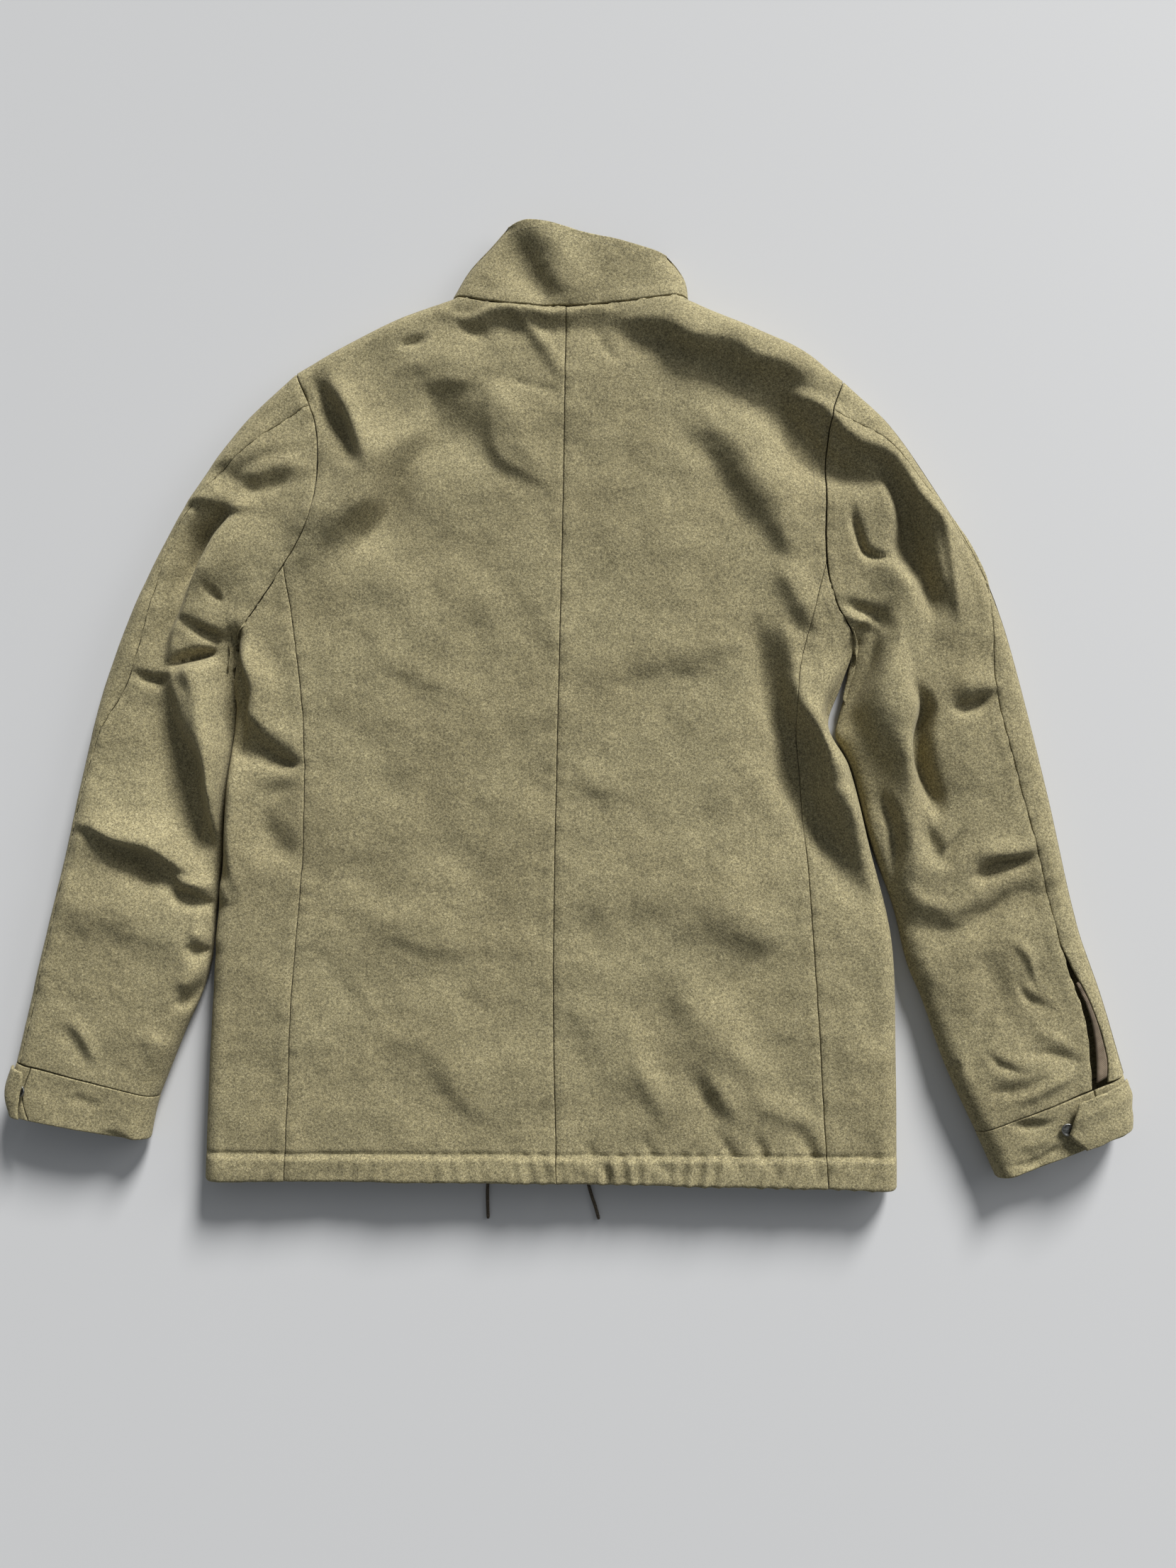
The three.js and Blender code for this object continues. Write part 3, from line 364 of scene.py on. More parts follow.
# Hem band's wrinkles, slanted where the cord has gathered it: x, lean, height
HEM_WRINKLES = [
    (x + 3 * math.sin(1.7 * x), 7 * math.cos(0.012 * x + 0.5) - 1,
     (0.6 + 1.9 * math.exp(-(((x - 95) / 140) ** 2))) * (1 + 0.45 * math.sin(2.3 * x)))
    for x in np.arange(-276, 258, HEM_WRINKLE_PITCH)
]


# Curve helpers, in plan
def mix(a, b, t):
    return a + (b - a) * t


def smooth(t):
    c = np.clip(t, 0, 1)
    return c * c * (3 - 2 * c)


class Curve:
    """A line through points, read by the share of its length in plan."""

    def __init__(self, points):
        self.points = np.array(points, float)
        steps = np.hypot(*np.diff(self.points[:, :2], axis=0).T)
        self.travelled = np.concatenate([[0], np.cumsum(steps)])
        self.length = float(self.travelled[-1])

    def at(self, share):
        target = np.clip(share, 0, 1) * self.length
        return np.stack([np.interp(target, self.travelled, axis) for axis in self.points.T], -1)

    def moved(self, dx, dy):
        return Curve(self.points + [dx, dy])

    def part(self, start, end, count=60):
        return Curve(self.at(np.linspace(start, end, count + 1)))

    def back(self):
        return Curve(self.points[::-1])


def smooth_curve(knots, steps=8):
    """A cubic curve through the knots, in so many straight steps from one to the next."""
    knots = np.array(knots, float)
    before = np.concatenate([knots[:1], knots[:-1]])
    after = np.concatenate([knots[1:], knots[-1:]])
    reach = np.linalg.norm(knots - before, axis=1) + np.linalg.norm(after - knots, axis=1)
    slopes = ((after - before) / reach[:, None])[:, None]
    lengths = np.linalg.norm(np.diff(knots, axis=0), axis=1)[:, None, None]
    t = (np.arange(1, steps + 1) / steps)[:, None]
    points = (2 * t ** 3 - 3 * t ** 2 + 1) * knots[:-1, None]
    points = points + (t ** 3 - 2 * t ** 2 + t) * lengths * slopes[:-1]
    points = points + (3 * t ** 2 - 2 * t ** 3) * knots[1:, None]
    points = points + (t ** 3 - t ** 2) * lengths * slopes[1:]
    return Curve(np.concatenate([knots[:1], points.reshape(-1, knots.shape[1])]))


def joined(first, *others):
    return Curve(np.concatenate([first.points] + [curve.points[1:] for curve in others]))


def straight(a, b):
    return Curve([a, b])


def offsets(curve, x, y):
    """For each point: distance to the curve, its side (+1 left), and how far along it lies."""
    starts = curve.points[:-1]
    runs = np.diff(curve.points, axis=0)
    lengths = np.maximum(np.hypot(*runs.T), 1e-9)
    best = np.full(x.shape, np.inf)
    side = np.ones(x.shape)
    along = np.zeros(x.shape)
    for (ax, ay), (bx, by), size, gone in zip(starts, runs, lengths, curve.travelled):
        px, py = x - ax, y - ay
        t = np.clip((px * bx + py * by) / size ** 2, 0, 1)
        gap = np.hypot(px - t * bx, py - t * by)
        closer = gap < best
        best = np.where(closer, gap, best)
        side = np.where(closer, np.sign(bx * py - by * px), side)
        along = np.where(closer, gone + t * size, along)
    return best, side, along


def near_offsets(curve, reach, x, y):
    """Which points lie in the curve's box widened by reach, and their offsets."""
    low, high = curve.points.min(0) - reach, curve.points.max(0) + reach
    near = (x > low[0]) & (x < high[0]) & (y > low[1]) & (y < high[1])
    if not near.any():
        return near, (x[near],) * 3
    return near, offsets(curve, x[near], y[near])


# Folded edges, each with the height of its tip, and seams
def tip_of(side, rises, tucks):
    """The height of an edge's tip, which may rise towards the cuff or lie tucked down."""
    def tip(x, y):
        rise = 2 * smooth((np.abs(x) - 330) / 80)
        tuck = 4 * smooth((CROTCH[side][1] - y) / 50) * smooth((y + 260) / 70)
        return TIP_HEIGHT - tucks * tuck + rises * rise
    return tip


FOLDED_EDGES = []
for SIDE in SIDES:
    for KNOTS, RISES, TUCKS in (
        (SHOULDER, 0, 0), (BODY_EDGE, 0, 0), (COLLAR_FOLD, 0, 0), (SLEEVE_OUTER, 1, 0),
        (CUFF_OUTER, 1, 0), (SLEEVE_INNER, 1, 1), (CUFF_INNER, 1, 0),
    ):
        FOLDED_EDGES.append((smooth_curve(KNOTS[SIDE]), tip_of(SIDE, RISES, TUCKS)))

ARMHOLES = {side: smooth_curve(ARMHOLE[side]) for side in SIDES}
SIDE_SEAMS = {side: smooth_curve(SIDE_SEAM[side]) for side in SIDES}
NECK_SEAM = joined(smooth_curve(BACK_NECK["left"]).back(), smooth_curve(BACK_NECK["right"]))


def from_armhole(side, knots):
    """A sleeve's line that leaves the armhole below the shoulder tip."""
    start = ARMHOLES[side].at(1 - HINDARM_BELOW_TIP / ARMHOLES[side].length)
    return smooth_curve([start.tolist()] + knots)


SEAMS = [smooth_curve(CENTRE_BACK), NECK_SEAM]
for SIDE in SIDES:
    SEAMS += [SIDE_SEAMS[SIDE], ARMHOLES[SIDE], from_armhole(SIDE, HINDARM[SIDE])]


def nearest_edge(x, y):
    """Distance to the nearest folded edge, and the height of its tip."""
    best = np.full(x.shape, np.inf)
    tip = np.full(x.shape, float(TIP_HEIGHT))
    for curve, tip_at in FOLDED_EDGES:
        gap = np.full(x.shape, np.inf)
        near, found = near_offsets(curve, EDGE_REACH, x, y)
        gap[near] = found[0]
        tip = np.where(gap < best, tip_at(x, y), tip)
        best = np.minimum(gap, best)
    return best, tip


# Folds and creases
def spindle(height, left, right, share, side, gap):
    """A fold that is nothing at both ends and high and wide in the middle of its length."""
    full = smooth(share / TAPER_SHARE) * smooth((1 - share) / TAPER_SHARE)
    width = np.where(side > 0, left, right) * mix(END_WIDTH, 1, full)
    return height * full * np.exp(-((gap / width) ** 2))


def fold_height(fold, x, y):
    x1, y1, x2, y2, bow, height, left, right = fold
    length = math.hypot(x2 - x1, y2 - y1)
    ux, uy = (x2 - x1) / length, (y2 - y1) / length
    share = ((x - x1) * ux + (y - y1) * uy) / length
    across = ux * (y - y1) - uy * (x - x1) - bow * 4 * share * (1 - share)
    share = (share + RUN_OUT) / (1 + 2 * RUN_OUT)
    return spindle(height, left, right, share, across, across)


def extended(points):
    """The points run out straight past both of their ends."""
    points = np.reshape(points, (-1, 2)).astype(float)
    length = np.hypot(*np.diff(points, axis=0).T).sum()
    first = points[0] - points[1]
    last = points[-1] - points[-2]
    start = points[0] + first / np.hypot(*first) * length * RUN_OUT
    end = points[-1] + last / np.hypot(*last) * length * RUN_OUT
    return np.concatenate([[start], points, [end]])


CREASE_LINES = [(smooth_curve(extended(points), 4), CREASE_STRENGTH * height, left, right)
                for height, left, right, *points in CREASES]


def ripples(x, y, wavelength, turn):
    """Uneven waves that repeat nowhere on the jacket."""
    total = 0
    for k in range(7):
        angle = 2.39996 * k + turn
        phase = 1.7 * k * k + 3.1 * turn
        size = wavelength * (0.75 + 0.5 * ((0.618 * k + turn) % 1))
        run = x * math.cos(angle) + y * math.sin(angle)
        side = y * math.cos(angle) - x * math.sin(angle)
        bend = 1.1 * np.sin(2 * np.pi * side / size / 1.7 + 1.3 * phase)
        total = total + np.sin(2 * np.pi * run / size + phase + bend)
    return total / 2.6


def cloth_detail(x, y):
    """Small form on the cloth: unevenness, pressed seams and the hem band."""
    total = hem_detail(x, y)
    for height, wavelength, turn in ((1.1, 100, 0.4), (0.45, 42, 1.3), (0.14, 15, 2.2)):
        total += height * ripples(x, y, wavelength, turn)
    for seam in SEAMS:
        near, (gap, side, along) = near_offsets(seam, SEAM_REACH, x, y)
        pressed = 0.45 * smooth((11 - gap) / 4) - 0.5 * np.exp(-((gap / 2.2) ** 2))
        pucker = 0.3 * np.exp(-((gap / 7) ** 2))
        pucker *= np.sin(along / 3.1 + 2 * np.sin(along / 17) + side)
        total[near] += pressed + pucker
    return total


def hem_detail(x, y):
    """The stitched line above the hem's tunnel, the tunnel's puff and its wrinkles."""
    total = np.zeros(x.shape)
    near = (y < HEM_LINE_Y + 12) & (np.abs(x) < 292)
    x, line = x[near], y[near] - HEM_LINE_Y
    detail = 1.6 * smooth(-line / 5) - 1.7 * np.exp(-((line / 1.9) ** 2))
    for place, lean, height in HEM_WRINKLES:
        across = x - place + lean * line / HEM_DEPTH
        detail += height * np.exp(-((across / 3.1) ** 2)) * smooth((5 - line) / 7)
    total[near] = detail
    return total


# Heights of the cloth's outer surface
def loft(x, y, tip, distance):
    outward = smooth((np.abs(x) - 230) / 150)
    collar = smooth((y - 318) / 40) * smooth((150 - np.abs(x)) / 40)
    height = mix(BODY_LOFT, SLEEVE_LOFT, outward) - 3 * collar + cloth_detail(x, y)
    swayed_x = x + WANDER * ripples(x, y, WANDER_WAVE, 0.9)
    swayed_y = y + WANDER * ripples(x, y, WANDER_WAVE, 2.6)
    for fold in FOLDS:
        height = height + fold_height(fold, swayed_x, swayed_y)
    for curve, rise, left, right in CREASE_LINES:
        near, (gap, side, along) = near_offsets(curve, 3 * max(left, right), swayed_x, swayed_y)
        height[near] += spindle(rise, left, right, along / curve.length, side, gap)
    over = height - CEILING
    capped = CEILING + CEILING_SOFTNESS * np.tanh(over / CEILING_SOFTNESS)
    height = np.where(over > 0, capped, height)
    middle = smooth((70 - np.abs(x)) / 25)
    open_floor = mix(11 + 3.5 * middle, 7.5, smooth((np.abs(x) - 215) / 45))
    inside = smooth((distance - FOLD_BAND) / FOLD_BAND)
    lowest = np.maximum(open_floor, mix(tip + 6.5, 0, inside))
    above = height - lowest - FLOOR_SOFTNESS
    eased = lowest + FLOOR_SOFTNESS * np.exp(np.minimum(above / FLOOR_SOFTNESS, 0))
    return np.where(above > 0, height, eased)


def flatness(distance):
    """The quarter round of a folded edge: 0 at the edge and 1 where the fold ends."""
    return np.sqrt(1 - (1 - np.minimum(distance / FOLD_BAND, 1)) ** 2)


def top_height(x, y):
    distance, tip = nearest_edge(x, y)
    return tip + SEAM_GAP / 2 + (loft(x, y, tip, distance) - tip) * flatness(distance)


def bottom_height(x, y):
    distance, tip = nearest_edge(x, y)
    return (tip - SEAM_GAP / 2) * (1 - flatness(distance))


def tip_height(x, y):
    return nearest_edge(x, y)[1]


# Each layer's height, and whether the cloth's outside faces up or down there
LAYERS = {"top": (top_height, 1), "bottom": (bottom_height, -1), "tip": (tip_height, 0)}


def lifted(plan, layers, lift=0):
    """Rows of x, y points, with a layer's name for each column, as x, y, z points."""
    x, y = plan[..., 0], plan[..., 1]
    z = np.zeros(x.shape)
    for layer, (height, _) in LAYERS.items():
        use = np.array(layers) == layer
        if use.any():
            z[:, use] = height(x[:, use], y[:, use])
    return np.stack([x, y, z + lift], -1)


# Grids in plan. A fanned patch leaves its first line within a few rows and swings as it does
FAN_RATE = 14
FAN_SWING = 6


def plan_patch(first, last, near, far, fan=0):
    """A patch between four lines: its points by share across and along, and its width."""
    def at(u, v):
        first_share = (1 - v) ** FAN_RATE if fan else 1 - v
        swing = fan * FAN_SWING * v * FAN_RATE * np.exp(1 - v * FAN_RATE)
        swing = swing * smooth((u - 0.5) / 0.35) * smooth((1 - u) / 0.12)
        u3 = u[..., None]
        first_bend = first.at(u) - mix(first.at(0), first.at(1), u3)
        last_bend = last.at(u) - mix(last.at(0), last.at(1), u3)
        bends = first_share[..., None] * first_bend + v[..., None] * last_bend
        return mix(near.at(v), far.at(v), u3) + bends + np.stack([swing, 0 * swing], -1)

    def chord(v):
        return np.linalg.norm(near.at(v) - far.at(v), axis=-1)

    def width(v):
        return chord(v) + (1 - v) * (first.length - chord(0)) + v * (last.length - chord(1))
    return at, width


def spread(distance, full, width):
    close = np.minimum(distance, width * distance / full + distance * 0.5)
    rest = FOLD_BAND + (distance - FOLD_BAND) * (width - FOLD_BAND) / (full - FOLD_BAND)
    return np.where(distance <= FOLD_BAND, close, rest)


SEAM_RIM = [0, 0.35, 0.8, 1.5]
HEM_ROWS = [0, 0.6, 1.4, 2.4, 3.6] + [5 + 1.5 * k for k in range(17)]
EDGE_ROUND = [0, 0.25, 0.8, 1.7, 2.9, 4.3, 6, 8, 10, 12, 14]
UNDER_ROUND = [1, 3, 6, 10, 14]
FREE_RIM = [0, 0.5, 1.1, 1.8]
STEP = 2.7


def run(stops, end, step=STEP):
    """The stops, then even steps on to the end."""
    count = max(int(round((end - stops[-1]) / step)), 1)
    return list(stops) + list(np.linspace(stops[-1], end, count + 1)[1:])


def shares(rows, count):
    """Each row's share of the whole length, in count columns."""
    return (rows / rows[-1])[:, None] * np.ones(count)


def from_edge(patch, rows, stations, full, gap=0):
    """Points at those distances from a patch's far line, fitted where the patch is narrower."""
    at, width = patch
    v = shares(rows, len(stations))
    size = width(v)
    u = 1 - (spread(stations * np.ones_like(v), full, size) - gap) / size
    return at(np.clip(u, SEAM_GAP / 2 / size, 1), v)


def from_tip(above, below):
    """Layers of columns that come down the top side, round a folded edge and in underneath."""
    return ["top"] * (len(above) - 1) + ["tip"] + ["bottom"] * len(below)


def both_ends(low, high, length, step=STEP):
    """Stations over a length with fine stops at its two ends."""
    middle = run([low[-1]], length - high[-1], step)
    return np.array(list(low[:-1]) + middle + [length - s for s in reversed(high[:-1])])


# Shell builder
def grid_normals(points):
    rows = np.gradient(points, axis=0)
    columns = np.gradient(points, axis=1)
    normals = np.cross(columns, rows)
    return normals / np.maximum(np.linalg.norm(normals, axis=-1, keepdims=True), 1e-12)


def blurred(values, times):
    for _ in range(times):
        for axis in (0, 1):
            ends = values.take([0], axis), values.take([-1], axis)
            padded = np.concatenate([ends[0], values, ends[1]], axis)
            size = values.shape[axis]
            before, after = padded.take(range(size), axis), padded.take(range(2, size + 2), axis)
            values = (before + 2 * values + after) / 4
    return values


def rim_drop(points, rims, thickness):
    """How far the surface is rounded off towards the shell's middle near each border."""
    drop = np.zeros(points.shape[:2])
    for axis in (0, 1):
        steps = np.linalg.norm(np.diff(points, axis=axis), axis=-1)
        zero = np.zeros_like(points[..., 0].take([0], axis))
        travelled = np.concatenate([zero, np.cumsum(steps, axis)], axis)
        far = travelled.take([-1], axis) - travelled
        for distance, radius in ((travelled, rims[2 * axis]), (far, rims[2 * axis + 1])):
            if radius is None:
                continue
            size = np.minimum(thickness / 2 - 0.08, thickness / 2 if radius == "free" else radius)
            near = np.clip(1 - distance / size, 0, 1)
            drop = np.maximum(drop, size * (1 - np.sqrt(1 - near ** 2)))
    return drop


def shell(name, points, thickness, rims, layers, material):
    """Closed cloth shell under a grid of outer points, in place of the solid of that name."""
    thickness = thickness * np.ones(points.shape[:2])
    normals = grid_normals(points)
    facing = np.array([LAYERS[layer][1] for layer in layers])
    turned = float((normals[..., 2] * facing).mean()) < 0
    if turned:
        normals = -normals
    drop = rim_drop(points, rims, thickness)
    outer = points - normals * drop[..., None]
    soft = blurred(normals, 3)
    soft /= np.linalg.norm(soft, axis=-1, keepdims=True)
    inner = points - soft * (thickness - drop)[..., None]
    front = np.arange(drop.size).reshape(drop.shape)
    back = front + drop.size
    rings = (
        (front[:-1, :-1], front[:-1, 1:], front[1:, 1:], front[1:, :-1]),
        (back[:-1, :-1], back[1:, :-1], back[1:, 1:], back[:-1, 1:]),
        (front[0, 1:], front[0, :-1], back[0, :-1], back[0, 1:]),
        (front[-1, :-1], front[-1, 1:], back[-1, 1:], back[-1, :-1]),
        (front[:-1, 0], front[1:, 0], back[1:, 0], back[:-1, 0]),
        (front[1:, -1], front[:-1, -1], back[:-1, -1], back[1:, -1]),
    )
    faces = np.concatenate([np.stack([corner.ravel() for corner in ring], 1) for ring in rings])
    if turned:
        faces = faces[:, ::-1]
    outer[..., 2] = np.maximum(outer[..., 2], 0)
    inner[..., 2] = np.maximum(inner[..., 2], LINING_LOWEST)
    vertices = np.concatenate([outer.reshape(-1, 3), inner.reshape(-1, 3)]) * MM
    return add_mesh(f"{name}_cloth", vertices, faces.tolist(), material, [name])


def add_mesh(name, vertices, faces, material, nodes=()):
    mesh = bpy.data.meshes.new(name)
    mesh.from_pydata(np.asarray(vertices).tolist(), [], faces)
    mesh.polygons.foreach_set("use_smooth", [True] * len(mesh.polygons))
    mesh.materials.append(material)
    mesh.update()
    piece = placed(name, mesh)
    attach(piece, "root")
    if nodes:
        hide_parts(*nodes)
    return piece


# Materials
class Surface:
    """A material and the nodes that shade it."""

    def __init__(self, name, roughness):
        self.material = bpy.data.materials.new(name)
        self.material.use_nodes = True
        self.tree = self.material.node_tree
        self.inputs = self.tree.nodes["Principled BSDF"].inputs
        self.inputs["Roughness"].default_value = roughness
        self.place = self.tree.nodes.new("ShaderNodeTexCoord").outputs["Object"]

    def node(self, kind, **inputs):
        """A new node, with each input set to a value or linked to another node's output."""
        node = self.tree.nodes.new(f"ShaderNode{kind}")
        for name, value in inputs.items():
            if isinstance(value, bpy.types.NodeSocket):
                self.tree.links.new(value, node.inputs[name])
            else:
                node.inputs[name].default_value = value
        return node

    def noise(self, scale, detail=3.0, distortion=0.0):
        node = self.node("TexNoise", Vector=self.place, Scale=scale, Detail=detail,
                         Distortion=distortion)
        return node.outputs["Fac"]

    def diagonals(self, scale, distortion):
        node = self.node("TexWave", Vector=self.place, Scale=scale, Distortion=distortion)
        node.bands_direction = "DIAGONAL"
        return node.outputs["Fac"]

    def ramp(self, value, stops):
        """The value as a colour. Each stop has a position and a colour, or one grey number."""
        node = self.node("ValToRGB", Fac=value)
        ends = node.color_ramp.elements
        while len(ends) < len(stops):
            ends.new(0.5)
        for element, (position, colour) in zip(ends, stops):
            element.position = position
            element.color = (*(colour if isinstance(colour, tuple) else (colour,) * 3), 1)
        return node.outputs["Color"]

    def product(self, first, *others):
        """The colours multiplied with each other."""
        for other in others:
            node = self.node("Mix")
            node.data_type = "RGBA"
            node.blend_type = "MULTIPLY"
            node.inputs[0].default_value = 1.0
            self.tree.links.new(first, node.inputs[6])
            self.tree.links.new(other, node.inputs[7])
            first = node.outputs[2]
        return first

    def finished(self, colour, *bumps):
        """The material with its colour and its bumps: height, distance and strength of each."""
        self.tree.links.new(colour, self.inputs["Base Color"])
        previous = {}
        for height, distance, strength in bumps:
            node = self.node("Bump", Height=height, Distance=distance, Strength=strength, **previous)
            previous = {"Normal": node.outputs["Normal"]}
        self.tree.links.new(previous["Normal"], self.inputs["Normal"])
        return self.material


def wool_material():
    wool = Surface("melton_wool", 0.95)
    fibres = wool.noise(1500, distortion=0.5)
    strands = wool.noise(620, distortion=0.4)
    patches = wool.noise(190)
    broad = wool.noise(13, 2)
    base = wool.ramp(fibres, [(0.28, (0.145, 0.125, 0.066)), (0.5, (0.27, 0.235, 0.135)),
                              (0.72, (0.43, 0.385, 0.25))])
    pale = wool.ramp(strands, [(0.3, 0.56), (0.7, (1.42, 1.41, 1.36))])
    mottled = wool.ramp(patches, [(0.3, (0.9, 0.9, 0.89)), (0.7, (1.09, 1.09, 1.08))])
    worn = wool.ramp(broad, [(0.35, (0.95, 0.94, 0.92)), (0.68, (1.05, 1.05, 1.04))])
    for name, value in (("Sheen Weight", 0.08), ("Sheen Roughness", 0.6),
                        ("Sheen Tint", (0.85, 0.8, 0.66, 1)), ("Specular IOR Level", 0.15)):
        wool.inputs[name].default_value = value
    return wool.finished(wool.product(base, pale, mottled, worn), (patches, 0.0005, 0.3),
                         (strands, 0.0004, 0.6), (fibres, 0.00012, 0.6))


def twill_material(name, roughness, twill, patches, dark, light, contrast, bump):
    """Diagonal rows over a colour that goes from dark to light in patches."""
    cloth = Surface(name, roughness)
    rows = cloth.diagonals(*twill)
    base = cloth.ramp(cloth.noise(patches), [(0.3, dark), (0.7, light)])
    shade = cloth.ramp(rows, list(zip((0.2, 0.8), contrast)))
    return cloth.finished(cloth.product(base, shade), (rows, *bump))


def metal_material():
    metal = Surface("dull_metal", 0.42)
    metal.inputs["Metallic"].default_value = 1.0
    wear = metal.noise(700)
    base = metal.ramp(wear, [(0.35, (0.12, 0.12, 0.11)), (0.65, (0.36, 0.36, 0.34))])
    return metal.finished(base, (wear, 0.00012, 0.5))


def thread_material():
    thread = Surface("sewing_thread", 0.75)
    twist = thread.noise(1500, 2)
    base = thread.ramp(twist, [(0.3, (0.16, 0.14, 0.085)), (0.7, (0.3, 0.265, 0.17))])
    return thread.finished(base, (twist, 0.0001, 0.5))


WOOL = wool_material()
FACING = twill_material("brown_drill", 0.85, (420, 1.5), 160, (0.13, 0.096, 0.06),
                        (0.24, 0.185, 0.125), (0.8, 1.1), (0.0002, 0.6))
CORD = twill_material("braided_cord", 0.8, (330, 3), 900, (0.04, 0.03, 0.018),
                      (0.13, 0.1, 0.065), (0.7, 1.2), (0.0003, 0.8))
METAL = metal_material()
THREAD = thread_material()


# Cut pieces
def hem_thickness(y, deep):
    return mix(WALL, deep, smooth((HEM_DEPTH + HEM_FOOT_Y - y) / 5))


def share_of(curve, target):
    nearest = int(np.argmin(np.hypot(*(curve.points - target).T)))
    return Curve(curve.points[: nearest + 1]).length / curve.length


SIDE_TOP_SHARE = {side: share_of(ARMHOLES[side], SIDE_TOP[side]) for side in SIDES}


def outer_boundary(side):
    return joined(SIDE_SEAMS[side], ARMHOLES[side].part(SIDE_TOP_SHARE[side], 1))


def panel_grid(side, inner, neck, rows, columns):
    top = joined(neck, smooth_curve(SHOULDER[side]))
    outer = outer_boundary(side)
    at, width = plan_patch(straight(inner.at(0), HEM_END[side]), top, inner, outer)
    v = shares(rows, len(columns))
    share = shares(columns, len(rows)).T
    low = SEAM_GAP / 2 / width(v)
    return at(np.clip(share, low, 1 - low), v)


def back_panel(side):
    inner = smooth_curve(CENTRE_BACK)
    neck = smooth_curve(BACK_NECK[side])
    rows = both_ends(HEM_ROWS, EDGE_ROUND, outer_boundary(side).length)
    columns = both_ends(SEAM_RIM, SEAM_RIM, 225)
    plan = panel_grid(side, inner, neck, rows, columns)
    layers = ["top"] * len(columns)
    piece = shell(f"back_{side}", lifted(plan, layers), hem_thickness(plan[..., 1], HEM_WALL),
                  ("free", *[SEAM_ROUND] * 3), layers, WOOL)


def overlap_share(x):
    return smooth((FRONT_OVERLAP / 2 + 28 - x) / 24)


def front_neck(side, shift_up=0):
    x, y = NECK_POINT[side]
    beyond = -math.copysign(FRONT_OVERLAP / 2, x)
    return smooth_curve([[x, y + shift_up], [x * 0.72, 281 + shift_up], [0, FRONT_NECK_LOW + shift_up],
                         [beyond, FRONT_NECK_LOW + shift_up]])


def front_panel(side):
    middle = FRONT_OVERLAP / 2 if side == "left" else -FRONT_OVERLAP / 2
    edge = straight([middle, -383], [middle, FRONT_NECK_LOW])
    neck = front_neck(side).back()
    rows = both_ends([0, 0.8, 2, 3.4], EDGE_ROUND, outer_boundary(side).length, 7)
    columns = both_ends([0, 0.5, 1.2, 2.4], SEAM_RIM, 240, 7)
    plan = panel_grid(side, edge, neck, rows, columns)
    x, y = plan[..., 0], plan[..., 1]
    thickness = hem_thickness(y, HEM_WALL - 1)
    lift = 0
    if side == "right":
        lift = (np.maximum(thickness + 0.3, COLLAR_WALL) + SEAM_GAP) * overlap_share(x)
    layers = ["bottom"] * len(columns)
    piece = shell(f"front_{side}", lifted(plan, layers, lift), thickness,
                  ("free", SEAM_ROUND, "free", SEAM_ROUND), layers, WOOL)


def side_panel(side):
    edge = smooth_curve(BODY_EDGE[side])
    armhole = ARMHOLES[side].part(0, SIDE_TOP_SHARE[side]).back()
    foot = straight(HEM_END[side], HEM_CORNER[side])
    patch = plan_patch(foot, armhole, SIDE_SEAMS[side], edge)
    full = SIDE_TOP_SHARE[side] * ARMHOLES[side].length
    above = both_ends(EDGE_ROUND, SEAM_RIM, full)[::-1]
    below = both_ends(UNDER_ROUND, SEAM_RIM, full, 7)
    rows = both_ends(HEM_ROWS, SEAM_RIM, SIDE_SEAMS[side].length)
    plan = from_edge(patch, rows, np.concatenate([above, below]), full)
    layers = from_tip(above, below)
    piece = shell(f"side_{side}", lifted(plan, layers), hem_thickness(plan[..., 1], HEM_WALL),
                  ("free", *[SEAM_ROUND] * 3), layers, WOOL)


OUTWARD = {"left": -SEAM_GAP, "right": SEAM_GAP + 0.15}


def sleeve_curves(side):
    shift = [OUTWARD[side], 0]
    back_line = SLIT_STITCH if side == "right" else HINDARM[side]
    return {
        "armhole": ARMHOLES[side].moved(*shift),
        "outer": smooth_curve(SLEEVE_OUTER[side]).moved(*shift),
        "inner": smooth_curve(SLEEVE_INNER[side]).moved(*shift),
        "hindarm": from_armhole(side, HINDARM[side]).moved(*shift),
        "top_edge": from_armhole(side, back_line).moved(*shift),
    }


def sleeve_below(side, lines):
    foot = straight(lines["outer"].at(1), lines["inner"].at(1))
    return plan_patch(lines["armhole"].back(), foot, lines["outer"], lines["inner"],
                      math.copysign(1, OUTWARD[side]))


def under_sleeve(side):
    lines = sleeve_curves(side)
    seam = 1 - HINDARM_BELOW_TIP / lines["armhole"].length
    full = lines["armhole"].length * seam
    foot = straight(lines["hindarm"].at(1), lines["inner"].at(1))
    patch = plan_patch(lines["armhole"].part(0, seam).back(), foot, lines["hindarm"],
                       lines["inner"], math.copysign(1, OUTWARD[side]))
    above = both_ends(EDGE_ROUND, SEAM_RIM, full)[::-1]
    below = np.array([1, 3, 6, 10, 13, 14])
    rows = both_ends(SEAM_RIM, SEAM_RIM, lines["outer"].length)
    top = from_edge(patch, rows, above, full)
    gap = np.where(below == FOLD_BAND, SEAM_GAP / 2, 0)
    bottom = from_edge(sleeve_below(side, lines), rows, below, lines["armhole"].length, gap)
    layers = from_tip(above, below)
    points = lifted(np.concatenate([top, bottom], 1), layers)
    piece = shell(f"under_sleeve_{side}", points, WALL, (SEAM_ROUND,) * 4, layers, WOOL)


